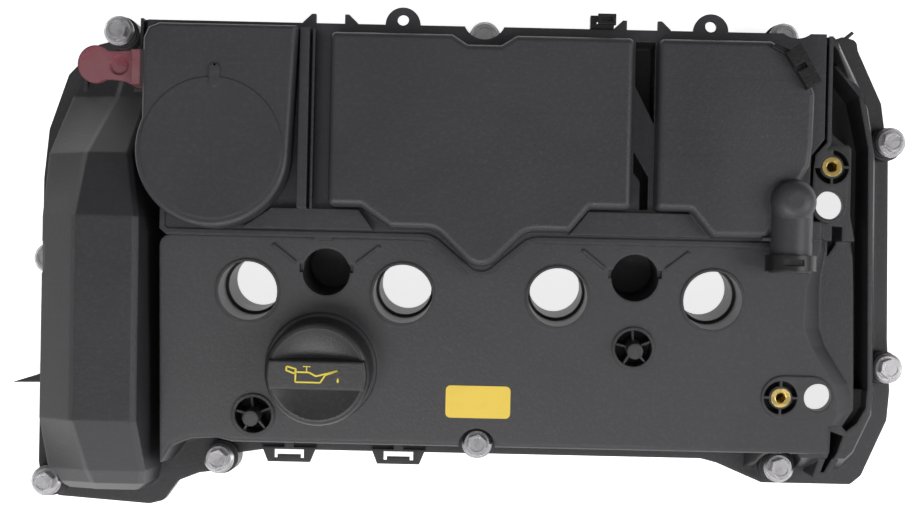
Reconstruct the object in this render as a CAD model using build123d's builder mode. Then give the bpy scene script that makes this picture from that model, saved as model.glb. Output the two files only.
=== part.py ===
from build123d import *
import math
import os

# Valve cover of a four-cylinder petrol engine: glass-filled nylon shell, welded oil separator
# lid, pressure regulator, filler cap, captive bolts and seals. Sizes are in millimetres, Z is up
# and the gasket's lower face is at Z = 0. Plan positions are counted from the middle of the row
# of plug tubes, which stands at ROW_X, ROW_Y from the middle of the cover's footprint.

os.makedirs("parts", exist_ok=True)

# Overall frame
ROW_X = 14.25
ROW_Y = -17.4
BORE_PITCH = 84.0
WALL = 3.0
FLANGE_BASE = 1.5
FLANGE_TOP = 10.0
DECK_HEIGHT = 58.0
DECK_TILT = 7.0
TRAY_TOP = 62.0
LID_FLANGE_TOP = 66.0
PANEL_TOP = 81.0
CAP_TOP = 86.0
HUMP_TOP = 78.0
RIM_TOP = 42.0

# Holding bolts, sleeves and grommets
BOLT_R = 3.0
BOLT_FLANGE_R = 8.4
BOLT_HEX = 10.0
BOLT_FLANGE_Z = 26.4
SLEEVE_R = 4.7
SLEEVE_BORE_R = 3.3
GROMMET_R = 6.6
LUG_R = 9.4
LUG_TOP = 18.0
BOLTS = [
    (-206.3, 144.4),
    (-0.8, 145.5),
    (167.1, 148.4),
    (228.3, 91.1),
    (229.4, -35.7),
    (169.5, -92.6),
    (-0.2, -82.8),
    (-144.9, -94.5),
    (-241.5, -109.1),
    (-242.5, 15.9),
]

# Flange seal
FLANGE_WIDTH = 6.2
GROOVE_IN = 1.4
GROOVE_WIDTH = 3.2
GROOVE_OUT = GROOVE_IN + GROOVE_WIDTH
GROOVE_DEPTH = 4.0
SEAL_DETOUR = 2.0

# Plug tubes and wells
TUBE_R = 16.0
TUBE_NECK_R = 14.5
TUBE_MOUTH = 24.0
TUBE_DEPTH = 54.0
SEAL_GROOVE_R = 16.8
WELL_R = 12.8
WELLS = [(-83.6, 11.0), (83.5, 11.4)]
WELL_DEPTH = 40.0

# Filler neck and cap
FILLER = (-85.7, -41.0)
NECK_R = 25.4
NECK_BORE_R = 20.0
NECK_RISE = 9.0
COLLAR_R = 31.2
CAP_R = 28.1
CAP_STEM_R = 17.6
CAP_FOOT = 3.2
CAP_ROUND = 3.6
CAP_RIM = 23.5
CAP_DISH = 5.0
GRIP_WIDTH = 17.2
LIP_R = 18.2
LIP_Z = 4.0

# Spoked bosses on the deck
SPOKED = [(-122.8, -67.8), (83.9, -26.8)]
SPOKED_R = 11.7
SPOKED_PIN_R = 4.7
SPOKED_PIN_RISE = 11.0

# Sensor bosses
REAR_INSERT = (187.3, 73.3)
REAR_HOLE = (186.4, 52.8)
FRONT_INSERT = (165.0, -51.9)
FRONT_HOLE = (185.3, -51.4)
SENSOR_R = 7.6
SENSOR_PLATE = 6.0
SENSOR_ROOM = 0.6
SENSOR_SIGHT = (14.3, 4.3)
BOSS_WIDTH = 19.4
BOSS_WALL = 2.0
BOSS_SADDLE = 57.0
FRONT_BOSS = [(166.6, -51.9), (181.5, -51.6)]
FRONT_BOSS_WIDTH = 24.0
INSERT_R = 5.3
INSERT_BORE_R = 2.6
INSERT_LENGTH = 12.0
REAR_BOSS_TOP = 66.0
SLOT_IN_R = 6.3
SLOT_OUT_R = 9.2
INSERT_PROUD = 0.4
FRONT_BOSS_RISE = 0.9

# Regulator
REG = (-142.6, 73.1)
REG_CAP_R = 40.4
REG_CHAMBER_R = 36.0
REG_PLATE_R = 17.0
REG_CLAMP_Z = 79.0
REG_PLATE_Z = 76.0
SPRING_WIRE = 0.7

# Vent port and red plug
PORT_Y = 116.5
PORT_Z = 74.0
PORT_BORE_R = 4.6

# Outlet pipe
PIPE_X = 163.6
PIPE_Z = 79.5
PIPE_R = 11.2
PIPE_BORE_R = 8.0
PIPE_END_Y = 15.5
PIPE_ELBOW_Y = 53.0
ELBOW_R = 11.8
COLLAR_PIPE_R = 13.5

# Oil baffle under the separator
BAFFLE_SPOT = (-2.0, 86.0)
BAFFLE_X = 130.0
BAFFLE_Y = 76.0

# Clip brackets and stiffening ribs
BRACKETS = (-107.4, -45.0)
RIB_SPOTS = [(-126 + 42 * i + 21, -28) for i in (0, 2, 3, 5)]

# Shoulder between the deck and the trough at the right end
STEP_TOP = 44.0
SHOULDER_EDGE = [
    (150, 44),
    (183.1, 44),
    (183.4, 29),
    (178.8, 15.2),
    (176.4, 7.6),
    (176.3, -13.6),
    (180.4, -23.8),
    (193.8, -44.2),
    (196.3, -52.3),
    (196.6, -61),
    (193.4, -67),
    (150, -67),
]
SHOULDER_STEP = [
    (150, 44),
    (189.1, 44.5),
    (189.4, 29.4),
    (187, 15.6),
    (186.6, 7.9),
    (187.1, -13.6),
    (190.6, -23.9),
    (203.7, -44.5),
    (205.5, -51.1),
    (206, -58.2),
    (199.8, -67.1),
    (150, -67.1),
]
STEP_OUTLINE = [
    (150, 40),
    (200.6, 38),
    (205.4, 24.3),
    (206.4, 8.3),
    (206.8, -13.2),
    (207.2, -47.4),
    (207.2, -58.2),
    (200.6, -67.6),
    (150, -70),
]
SADDLE = [(168, 86), (201, 86), (204, 44), (204, 34), (186, 34), (168, 60)]

# Troughs outside the sensor bosses: floor height, outline at the top and outline at the floor
TROUGH_RIM = 62.0
TROUGHS = [
    (
        14.0,
        [
            (189, 135),
            (191.5, 93),
            (198.6, 84),
            (198.6, 48),
            (201, 38),
            (203.7, 24.3),
            (204.8, 8.3),
            (205.3, -13.2),
            (206.1, -48),
            (215.5, -48),
            (214, 30),
            (212.5, 86),
            (207, 116),
        ],
        [
            (191, 133),
            (193.5, 94),
            (208.8, 86),
            (208.8, 46),
            (207.2, 36),
            (206.2, 24.3),
            (206.2, 8.3),
            (206.6, -13.2),
            (207.4, -47),
            (214.2, -47),
            (212.6, 30),
            (212.2, 86),
            (205.8, 114),
        ],
    ),
    (
        31.0,
        [
            (205.9, -47),
            (206, -58.2),
            (199.8, -67.1),
            (203.4, -71.5),
            (210, -66.5),
            (215, -57.5),
            (215.5, -47),
        ],
        [
            (207.2, -47),
            (207.2, -58.6),
            (201.4, -67.4),
            (203.6, -70),
            (209, -65.5),
            (213.8, -57),
            (214.2, -47),
        ],
    ),
    (
        14.0,
        [(194.6, -70), (202.6, -72.6), (199.4, -82), (192.8, -94), (190, -94), (194.2, -82)],
        [(195.4, -71.4), (201, -73.4), (198.4, -81.6), (192.2, -93), (191, -93), (195.2, -82)],
    ),
    (
        36.0,
        [(189.7, 41.8), (189.9, 24), (192, 27), (195.6, 32), (195.6, 41.5)],
        [(190.6, 42.6), (190.7, 26.6), (192, 28.4), (194.8, 32.8), (194.8, 42.2)],
    ),
]

# Lid outlines: flange, panels, ledges and openings
EARS = (-44.6, 120.7)
EAR_R = 9.4
EAR_HOLE_R = 3.1
EAR_HOLE_Y = 147.2
LID_REAR = 144.4
LID_OVERHANG = 1.0
REAR_NICHE_R = 12.0
HOOKS = [(-98.3, 1), (-68.8, -1), (68.6, 1), (99.2, -1)]
MIDDLE_PANEL = [
    (-81.8, 137.8),
    (-81.6, 46),
    (-64.4, 46),
    (-48.3, 34.8),
    (-24.6, 34.8),
    (0, 11),
    (23.8, 34.8),
    (46.7, 34.8),
    (57, 47.5),
    (78.6, 47.5),
    (78.6, 137.8),
    (16.5, 137.8),
    (8.5, 132.6),
    (-9.5, 132.6),
    (-17.5, 137.8),
]
LID_V_REACH = 40.0
LID_V_REAR = 36.0
LID_V_ROUND = 12.0
RIGHT_PANEL = [
    (92, 137.8),
    (92, 47.5),
    (110.5, 47.5),
    (122, 33.8),
    (151, 33.8),
    (172.5, 72),
    (174, 84),
    (174.5, 110),
    (168, 128),
    (151, 137.8),
]
LEDGES = [
    [(-128, 33.6), (-58, 33.6), (-66, 44.5), (-112.5, 44.5)],
    [(47, 33.6), (122, 33.6), (112, 46), (57, 46)],
]
CHANNEL_SLOTS = [
    [(80.6, 138), (80.6, 114.5), (91.2, 94), (91.2, 138)],
    [(80.6, 79), (80.6, 68), (84.3, 63), (84.3, 48), (88.8, 48), (88.8, 65.6)],
]

DECK = Plane(
    origin=(ROW_X, ROW_Y, DECK_HEIGHT),
    x_dir=(1, 0, 0),
    z_dir=(0, -math.sin(math.radians(DECK_TILT)), math.cos(math.radians(DECK_TILT))),
)


def level(height):
    """Horizontal plane at a height, with its origin at the middle of the tube row."""
    return Plane((ROW_X, ROW_Y, height))


def station(y):
    """Upright plane across the cover at a distance behind the tube row, seen from the front."""
    return Plane(origin=(ROW_X, ROW_Y + y, 0), x_dir=(1, 0, 0), z_dir=(0, -1, 0))


def deck_point(spot):
    """A plan position measured along the tilted deck."""
    return (spot[0], spot[1] / math.cos(math.radians(DECK_TILT)))


FILLER_SEAT = DECK.from_local_coords(Vector(*deck_point(FILLER), 0))
CAP_SECTION = Plane(origin=FILLER_SEAT, x_dir=(1, 0, 0), z_dir=-DECK.y_dir)
CAP_FLOOR = CAP_RIM - CAP_DISH
REG_AXIS = Axis((ROW_X + REG[0], ROW_Y + REG[1], 0), (0, 0, 1))
TUBES = [deck_point(((i - 1.5) * BORE_PITCH, 0)) for i in range(4)]

# Hump sections: distance, left foot, shoulder height, crest, flank, top and right foot
HUMP_SECTIONS = [
    (-113, -231, 22, -213, -190, 29, -187),
    (-108, -235.5, 34, -211, -184, 42, -181.5),
    (-100, -238, 42, -212, -181.4, 51.5, -180),
    (-71, -239, 58, -214, -181, HUMP_TOP, -180),
    (38, -239, 60, -215, -182, HUMP_TOP, -180),
    (73, -240, 46, -213, -190, 62, -185),
    (108, -235, 18, -206, -189, 24, -184),
    (122, -230, 14, -204, -189, 18, -184),
]

FLANGE_OUTLINE = [
    (-251.5, 62),
    (-251, -100),
    (-249, -113),
    (-239, -119.5),
    (-187, -123),
    (-179, -121),
    (-171, -109.5),
    (-158.8, -104.6),
    (-146.8, -103),
    (-136, -92.6),
    (-121, -90.2),
    (128, -90.2),
    (137, -92.4),
    (163, -103.2),
    (214, -103.2),
    (220, -98),
    (234, -66),
    (235.3, -49),
    (233.3, -20),
    (231.6, 83),
    (227, 115),
    (213, 145),
    (212, 151),
    (204, 153),
    (190, 147.5),
    (-192, 147.5),
    (-222, 139),
    (-238.5, 121.6),
    (-249, 90),
]

DECK_OUTLINE = [
    (-175, 31),
    (-175, -98),
    (-171.6, -94),
    (-166.6, -86.6),
    (-157, -82.8),
    (-143, -82),
    (-135, -84),
    (193, -84),
    (193.2, -62),
    (190, -46),
    (176.6, -24),
    (173.4, -13),
    (173.4, 8),
    (176, 15),
    (180, 29),
    (180, 31),
]

LID_OUTLINE = [
    (-181.5, 144.4),
    (-181.5, 54),
    (-173, 48),
    (-173, 32.5),
    (-169.5, 29.5),
    (-27.7, 29.4),
    (0, 6.2),
    (26.6, 29),
    (156, 28.8),
    (175.5, 58),
    (176, 79),
    (183, 88),
    (183, 144.4),
]


def in_lid_v(corner):
    """Whether a corner belongs to the V in the front edge of the lid."""
    return abs(corner.X) < LID_V_REACH and corner.Y < LID_V_REAR


def lid_face(inset):
    """Flat outline of the weld flange at an inset, with the V of its front edge rounded."""
    with BuildSketch() as outline:
        with BuildLine():
            Polyline(*LID_OUTLINE, close=True)
        make_face()
        fillet([v for v in outline.vertices() if in_lid_v(v)], LID_V_ROUND)
        if inset:
            offset(amount=-inset, kind=Kind.INTERSECTION)
    return outline.sketch


def flange_face(inset):
    """Flat outline of the flange at an inset, passing inside every bolt."""
    with BuildSketch() as outline:
        with BuildLine():
            Polyline(*FLANGE_OUTLINE, close=True)
        make_face()
        fillet(outline.vertices(), 4)
        if inset:
            offset(amount=-inset)
            with Locations(*BOLTS):
                Circle(GROMMET_R + SEAL_DETOUR + inset, mode=Mode.SUBTRACT)
    return outline.sketch


def flange_area(inset, base, top):
    """Everything inside the flange outline at an inset, between two heights."""
    face = flange_face(inset)
    with BuildPart() as form:
        with BuildSketch(level(base)):
            add(face)
        extrude(amount=top - base)
    return form.part


def flange_ring(outer, inner, base, top):
    """A ring that follows the flange between two insets."""
    wide = flange_face(outer)
    narrow = flange_face(inner)
    with BuildPart() as form:
        with BuildSketch(level(base)):
            add(wide)
            add(narrow, mode=Mode.SUBTRACT)
        extrude(amount=top - base)
    return form.part


def deck_form(inset):
    """The long front body under the sloping deck."""
    with BuildPart() as form:
        with BuildSketch(level(FLANGE_BASE)) as outline:
            with BuildLine():
                Polyline(*DECK_OUTLINE, close=True)
            make_face()
            fillet([v for v in outline.vertices() if v.X < -174 and v.Y > 0], 8)
            if inset:
                offset(amount=-inset, kind=Kind.INTERSECTION)
        extrude(amount=TRAY_TOP + 10, taper=1.2)
        split(bisect_by=DECK.offset(-inset), keep=Keep.BOTTOM)
        if not inset:
            top = form.faces().sort_by(Axis.Z)[-1]
            fillet([e for e in top.edges() if e.center().Y < ROW_Y - 81 and e.center().X > ROW_X - 162], 3)
    return form.part


def tray_form(inset):
    """The rear body that carries the separator lid."""
    face = lid_face(inset + LID_OVERHANG)
    with BuildPart() as form:
        with BuildSketch(level(FLANGE_BASE)):
            add(face)
            with Locations(BOLTS[1], BOLTS[2]):
                Circle(REAR_NICHE_R + inset, mode=Mode.SUBTRACT)
        extrude(amount=TRAY_TOP - FLANGE_BASE - inset)
    return form.part


def hump_form(inset):
    """The chain-end hump: sections drawn across the cover and joined lengthwise."""
    ends = (0, len(HUMP_SECTIONS) - 1)
    with BuildPart() as form:
        for place, (y, left, shoulder, crest, flat, top, right) in enumerate(HUMP_SECTIONS):
            inward = inset if place == ends[0] else -inset if place == ends[1] else 0
            with BuildSketch(station(y + inward)):
                with BuildLine():
                    Polyline(
                        (left + inset, FLANGE_BASE),
                        (left + 1.5 + inset, shoulder - 0.4 * inset),
                        (crest - 3 + 0.7 * inset, top - 2.2 - inset),
                        (crest + 0.5 * inset, top - inset),
                        (flat - 2.6 - 0.5 * inset, top - inset),
                        (flat - inset, top - 2.4 - inset),
                        (right - inset, FLANGE_BASE),
                        close=True,
                    )
                make_face()
        loft(ruled=True)
    return form.part


def shoulder_form(inset):
    """The slope from the deck's right edge down to a step, and the saddle under the rear boss."""
    with BuildPart() as form:
        with BuildSketch(level(STEP_TOP - inset)):
            with BuildLine():
                Polyline(*SHOULDER_STEP, close=True)
            make_face()
            if inset:
                offset(amount=-inset, kind=Kind.INTERSECTION)
        with BuildSketch(DECK.offset(-inset)):
            with BuildLine():
                Polyline(*[deck_point(spot) for spot in SHOULDER_EDGE], close=True)
            make_face()
            if inset:
                offset(amount=-inset, kind=Kind.INTERSECTION)
        loft(ruled=True)
        with BuildSketch(level(FLANGE_BASE)):
            with BuildLine():
                Polyline(*STEP_OUTLINE, close=True)
            make_face()
            if inset:
                offset(amount=-inset, kind=Kind.INTERSECTION)
        extrude(amount=STEP_TOP - FLANGE_BASE - inset)
        with BuildSketch(level(FLANGE_BASE)):
            with BuildLine():
                Polyline(*SADDLE, close=True)
            make_face()
            if inset:
                offset(amount=-inset, kind=Kind.INTERSECTION)
        extrude(amount=BOSS_SADDLE - FLANGE_BASE - inset)
    return form.part


def trough_form(wall, rim):
    """The troughs of the right end as solids, grown by a wall and reaching up to a rim."""
    with BuildPart() as form:
        for floor, wide, narrow in TROUGHS:
            for height, corners in ((floor - wall, narrow), (rim, wide)):
                with BuildSketch(level(height)):
                    with BuildLine():
                        Polyline(*corners, close=True)
                    make_face()
                    if wall:
                        offset(amount=wall, kind=Kind.INTERSECTION)
            loft(ruled=True)
    return form.part


def rear_boss_face(inset):
    """Flat outline of the rear sensor boss, round the insert and the hole."""
    across = (REAR_INSERT[0] - REAR_HOLE[0], REAR_INSERT[1] - REAR_HOLE[1])
    with BuildSketch() as outline:
        with Locations(((REAR_INSERT[0] + REAR_HOLE[0]) / 2, (REAR_INSERT[1] + REAR_HOLE[1]) / 2)):
            SlotCenterToCenter(
                math.hypot(*across),
                BOSS_WIDTH - 2 * inset,
                rotation=math.degrees(math.atan2(across[1], across[0])),
            )
    return outline.sketch


def end_form(inset):
    """The sculpted right end, outside the sensor bosses."""
    with BuildPart() as form:
        with BuildSketch(level(FLANGE_BASE)) as outline:
            with BuildLine():
                Polyline(
                    (150, -97),
                    (208, -97),
                    (217, -88),
                    (228, -64),
                    (229, -45),
                    (228, -20),
                    (227, 85),
                    (222, 113),
                    (203, 143),
                    (150, 143),
                    close=True,
                )
            make_face()
            if inset:
                offset(amount=-inset, kind=Kind.INTERSECTION)
        extrude(amount=RIM_TOP - FLANGE_BASE - inset, taper=16)
        with BuildSketch(level(FLANGE_BASE)) as niches:
            with Locations(*[BOLTS[i] for i in (2, 3, 4, 5)]):
                Circle(12.2 + inset)
        extrude(amount=RIM_TOP, mode=Mode.SUBTRACT)
    return form.part


def panel_form(outline, inset, base, edge):
    """A raised lid panel with drafted walls and a rounded top edge."""
    with BuildPart() as form:
        with BuildSketch(level(base)) as foot:
            with BuildLine():
                Polyline(*outline, close=True)
            make_face()
            fillet([v for v in foot.vertices() if not in_lid_v(v)], 2.8)
            if outline is MIDDLE_PANEL:
                fillet([v for v in foot.vertices() if in_lid_v(v)], LID_V_ROUND)
            offset(amount=0.4 - inset, kind=Kind.INTERSECTION)
        extrude(amount=PANEL_TOP - base - inset, taper=1.5)
        if edge:
            fillet(form.faces().sort_by(Axis.Z)[-1].edges(), edge)
    return form.part


def lid_bead(outer, inner, base, top):
    """A strip along the front edge of the weld flange, between two insets."""
    wide = lid_face(outer)
    narrow = lid_face(inner)
    with BuildPart() as form:
        for face, mode in ((wide, Mode.ADD), (narrow, Mode.SUBTRACT)):
            with BuildSketch(level(base)):
                add(face)
            extrude(amount=top - base, mode=mode)
        with BuildSketch(level(base)):
            with Locations((0, 100)):
                Rectangle(420, 111)
        extrude(amount=top - base, mode=Mode.SUBTRACT)
    return form.part


def cap_form(inset, base, edge):
    """Drop-shaped cap body."""
    with BuildPart() as form:
        with BuildSketch(level(base)):
            with BuildLine():
                Polyline(
                    (-179.6 + inset, REG[1]),
                    (REG[0] + REG_CAP_R - inset, REG[1]),
                    (-99.2 - inset, 139.8 - inset),
                    (-171.5 + inset, 139.8 - inset),
                    (-177.2 + inset, 137.4 - inset),
                    (-179.6 + inset, 131.6 - inset),
                    close=True,
                )
            make_face()
            with Locations(REG):
                Circle(REG_CAP_R - inset)
        extrude(amount=CAP_TOP - base - inset)
        if edge:
            fillet(form.faces().sort_by(Axis.Z)[-1].edges(), edge)
    return form.part


deck_outer = deck_form(0)
deck_inner = deck_form(WALL)
tray_outer = tray_form(0)
tray_inner = tray_form(WALL)
hump_outer = hump_form(0)
hump_inner = hump_form(WALL)
end_outer = end_form(0)
end_inner = end_form(WALL)
flange_block = flange_area(0, FLANGE_BASE, FLANGE_TOP)
flange_hollow = flange_area(FLANGE_WIDTH, FLANGE_BASE, FLANGE_TOP - WALL)
cavity_limit = flange_area(FLANGE_WIDTH, FLANGE_BASE, HUMP_TOP)
seal_groove = flange_ring(GROOVE_IN, GROOVE_OUT, FLANGE_BASE, FLANGE_BASE + GROOVE_DEPTH)
gasket_ring = flange_ring(GROOVE_IN + 0.3, GROOVE_OUT - 0.3, 0, FLANGE_BASE + GROOVE_DEPTH)

lid_full = lid_face(0)
rear_boss_full = rear_boss_face(0)
rear_boss_bore = rear_boss_face(BOSS_WIDTH / 2 - SENSOR_R - SENSOR_ROOM)
with BuildSketch() as front_boss:
    with Locations(deck_point(((FRONT_BOSS[0][0] + FRONT_BOSS[1][0]) / 2, FRONT_BOSS[0][1]))):
        SlotCenterToCenter(FRONT_BOSS[1][0] - FRONT_BOSS[0][0], FRONT_BOSS_WIDTH)
front_boss_full = front_boss.sketch
shoulder_outer = shoulder_form(0)
shoulder_inner = shoulder_form(WALL)
trough_cuts = trough_form(0, TROUGH_RIM)
trough_blocks = trough_form(WALL, RIM_TOP - 3)
trough_guard = trough_form(WALL, TROUGH_RIM)

# Bosses, tubes, brackets and ribs that stand on the walls
with BuildPart() as fittings:
    # Rim wall beside the lid
    with BuildSketch(level(RIM_TOP - 10)):
        with BuildLine() as rim_line:
            Polyline((185.6, 143.4), (185.6, 86), (179.4, 79), (178.6, 62))
        trace(line_width=2.2)
    extrude(amount=LID_FLANGE_TOP - RIM_TOP + 10)

    # Pillar and plate of the rear sensor boss
    with BuildSketch(level(REAR_BOSS_TOP - INSERT_LENGTH - BOSS_WALL)):
        with Locations(REAR_INSERT):
            Circle(BOSS_WIDTH / 2)
    extrude(amount=INSERT_LENGTH + BOSS_WALL)
    with BuildSketch(level(REAR_BOSS_TOP - SENSOR_PLATE)):
        add(rear_boss_full)
    extrude(amount=SENSOR_PLATE)

    # Plate and pillar of the front sensor boss, level with the deck
    with BuildSketch(DECK.offset(-SENSOR_PLATE)):
        add(front_boss_full)
    extrude(amount=SENSOR_PLATE + FRONT_BOSS_RISE)
    with BuildSketch(DECK.offset(FRONT_BOSS_RISE - INSERT_LENGTH - BOSS_WALL)):
        with Locations(deck_point(FRONT_INSERT)):
            Circle(SLOT_OUT_R + BOSS_WALL)
    extrude(amount=INSERT_LENGTH)

    # Walls of the plug tubes with a low collar on the deck
    with BuildSketch(DECK.offset(-TUBE_DEPTH)):
        with Locations(*TUBES):
            Circle(TUBE_R + WALL)
    extrude(amount=TUBE_DEPTH - 0.5)
    with BuildSketch(DECK.offset(-1)):
        with Locations(*TUBES):
            Circle(TUBE_R + 1.4)
    extrude(amount=1.9)

    # Walls of the blind wells
    with BuildSketch(DECK.offset(-WELL_DEPTH - WALL)):
        with Locations(*[deck_point(spot) for spot in WELLS]):
            Circle(WELL_R + WALL)
    extrude(amount=WELL_DEPTH + WALL - 0.5)

    # Low ribs beside the wells
    with BuildSketch(DECK.offset(-1)):
        for x, y in WELLS:
            for side in (-1, 1):
                with BuildLine():
                    Line(deck_point((x + side * 28.8, y + 14.4)), deck_point((x + side * 16.6, y + 4.9)))
                trace(line_width=1.6)
    extrude(amount=2)

    # Filler neck with a flared collar
    with BuildSketch(DECK.offset(-12)):
        with Locations(deck_point(FILLER)):
            Circle(NECK_R)
    extrude(amount=12 + NECK_RISE)
    with BuildSketch(DECK.offset(-1)):
        with Locations(deck_point(FILLER)):
            Circle(COLLAR_R)
    extrude(amount=3.2, taper=25)

    # Spoked bosses with a standing pin
    for spot in SPOKED:
        with BuildSketch(DECK.offset(-16)):
            with Locations(deck_point(spot)):
                Circle(SPOKED_R)
        extrude(amount=17)
        with BuildSketch(DECK.offset(-13)):
            with Locations(deck_point(spot)):
                Circle(SPOKED_R - 1.7)
        extrude(amount=15, mode=Mode.SUBTRACT)
        with BuildSketch(DECK.offset(-14)):
            with Locations(deck_point(spot)):
                Circle(SPOKED_PIN_R)
        extrude(amount=14 + SPOKED_PIN_RISE, taper=1)
        with BuildSketch(DECK.offset(-14)):
            for spoke in range(5):
                with Locations(deck_point(spot)):
                    with PolarLocations(SPOKED_PIN_R + 2.4, 1, start_angle=95 + 72 * spoke):
                        Rectangle(5.6, 1.2)
        extrude(amount=14.2)

    # Cam-space ribs under the deck
    with BuildSketch(DECK.offset(-WALL - 9)):
        with Locations(*RIB_SPOTS):
            Rectangle(2.4, 104)
    extrude(amount=10)

    # Clip brackets on the front wall
    for x in BRACKETS:
        with BuildSketch(level(FLANGE_TOP - 1)):
            with BuildLine():
                Polyline(
                    (x - 16, -83),
                    (x + 16, -83),
                    (x + 16, -87),
                    (x + 12, -97),
                    (x - 12, -97),
                    (x - 16, -87),
                    close=True,
                )
            make_face()
        extrude(amount=4.2)
        with BuildSketch(level(FLANGE_BASE)):
            with Locations((x, -92.4)):
                Rectangle(17, 5.2)
            with Locations((x, -94)):
                Rectangle(13, 2.2, mode=Mode.SUBTRACT)
        extrude(amount=20, mode=Mode.SUBTRACT)
        with BuildSketch(level(FLANGE_TOP - 0.5)):
            with Locations((x - 9.2, -86.6), (x + 9.2, -86.6)):
                Rectangle(13, 4)
        extrude(amount=6, mode=Mode.SUBTRACT)

    # Locating tab at the left and grip at the rear corner
    with BuildSketch(level(FLANGE_TOP - 2.5)):
        with BuildLine():
            Polyline((-267.3, -55.2), (-249.5, -54.8), (-249.5, -48.5), (-252, -50.2), close=True)
        make_face()
        with BuildLine():
            Polyline((199, 148), (202, 147), (210.6, 155), (209.4, 156.4), close=True)
        make_face()
    extrude(amount=2.5)

    # Walls of the deep slot under the right lid channel
    with BuildSketch(level(TRAY_TOP - 26)):
        with Locations((86, 93)):
            Rectangle(16, 98)
    extrude(amount=24)

    # Rim wall at the left of the lid
    with BuildSketch(level(TRAY_TOP - 6)):
        with Locations((-182.4, 137)):
            Rectangle(6, 16)
    extrude(amount=5)
    with BuildSketch(level(TRAY_TOP - 4)):
        with Locations((-184.6, 137)):
            Rectangle(1.6, 16)
    extrude(amount=8)

    # Strut between hump and rear corner
    with BuildSketch(level(FLANGE_TOP - 1)):
        with Locations((-226.6, 108)):
            Rectangle(2, 24)
    extrude(amount=9)


# Everything that is cut through walls and bosses
with BuildPart() as bores:
    # Bores of the plug tubes
    with BuildSketch(DECK.offset(-TUBE_DEPTH - 4)):
        with Locations(*TUBES):
            Circle(TUBE_NECK_R)
    extrude(amount=TUBE_DEPTH + 10)
    with BuildSketch(DECK.offset(-TUBE_MOUTH)):
        with Locations(*TUBES):
            Circle(TUBE_R)
    extrude(amount=TUBE_MOUTH + 6)
    with BuildSketch(DECK.offset(-TUBE_MOUTH)):
        with Locations(*TUBES):
            Circle(TUBE_R)
    extrude(amount=-2, taper=30)
    with BuildSketch(DECK.offset(-TUBE_DEPTH)):
        with Locations(*TUBES):
            Circle(SEAL_GROOVE_R + 1)
            Circle(SEAL_GROOVE_R - 1, mode=Mode.SUBTRACT)
    extrude(amount=2.5)

    # Well bores with two side slots
    with BuildSketch(DECK.offset(-WELL_DEPTH)):
        with Locations(*[deck_point(spot) for spot in WELLS]):
            Circle(WELL_R)
    extrude(amount=WELL_DEPTH + 6)
    with BuildSketch(DECK.offset(-5)):
        for spot in WELLS:
            with Locations(deck_point(spot)):
                with Locations((-WELL_R, 2), (WELL_R, 2)):
                    Rectangle(3.2, 4.4)
    extrude(amount=8)

    # Filler bore, with a lip that holds the cap's lugs and two ways in for them
    with BuildSketch(DECK.offset(-13)):
        with Locations(deck_point(FILLER)):
            Circle(NECK_BORE_R)
    extrude(amount=13 + LIP_Z)
    with BuildSketch(DECK.offset(LIP_Z)):
        with Locations(deck_point(FILLER)):
            Circle(LIP_R)
            Rectangle(13, 2 * NECK_BORE_R - 0.4)
    extrude(amount=NECK_RISE)

    # Sensor holes, insert seats and the slots round them
    with BuildSketch(level(REAR_BOSS_TOP - SENSOR_PLATE - 1)):
        with Locations(REAR_HOLE):
            Circle(SENSOR_R)
    extrude(amount=SENSOR_PLATE + 2)
    with BuildSketch(level(REAR_BOSS_TOP - INSERT_LENGTH)):
        with Locations(REAR_INSERT):
            Circle(INSERT_R)
    extrude(amount=INSERT_LENGTH + 1)
    with BuildSketch(level(REAR_BOSS_TOP - 9)):
        with Locations(REAR_INSERT):
            Circle(SLOT_OUT_R)
            Circle(SLOT_IN_R, mode=Mode.SUBTRACT)
            Rectangle(30, 1.3, mode=Mode.SUBTRACT)
            Rectangle(1.3, 30, mode=Mode.SUBTRACT)
            with Locations((-8, 8)):
                Rectangle(16, 16, mode=Mode.SUBTRACT)
    extrude(amount=12)
    with BuildSketch(DECK.offset(-SENSOR_PLATE - 1)):
        with Locations(deck_point(FRONT_HOLE)):
            Circle(SENSOR_R)
    extrude(amount=SENSOR_PLATE + 4)
    with BuildSketch(DECK.offset(FRONT_BOSS_RISE - INSERT_LENGTH)):
        with Locations(deck_point(FRONT_INSERT)):
            Circle(INSERT_R)
    extrude(amount=INSERT_LENGTH + 1)
    with BuildSketch(DECK.offset(-8)):
        with Locations(deck_point(FRONT_INSERT)):
            Circle(SLOT_OUT_R)
            Circle(SLOT_IN_R, mode=Mode.SUBTRACT)
            Rectangle(30, 1.3, mode=Mode.SUBTRACT)
            Rectangle(1.3, 30, mode=Mode.SUBTRACT)
    extrude(amount=12)

    # Space for the bolt heads above the lugs
    with BuildSketch(level(LUG_TOP)):
        with Locations(*BOLTS):
            Circle(BOLT_FLANGE_R + 1.6)
    extrude(amount=RIM_TOP)

    # Grommet seats and the seal groove
    with BuildSketch(level(FLANGE_BASE)):
        with Locations(*BOLTS):
            Circle(GROMMET_R)
    extrude(amount=LUG_TOP)
    add(seal_groove)

    # Deep slot under the right lid channel
    with BuildSketch(level(TRAY_TOP - 23)):
        with Locations((86, 93)):
            Rectangle(11, 92)
    extrude(amount=30)

    # Drain window of the oil separator
    with BuildSketch(level(TRAY_TOP - WALL - 1)):
        with Locations(BAFFLE_SPOT):
            Rectangle(BAFFLE_X - 14, BAFFLE_Y - 14)
    extrude(amount=WALL + 3)

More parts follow.
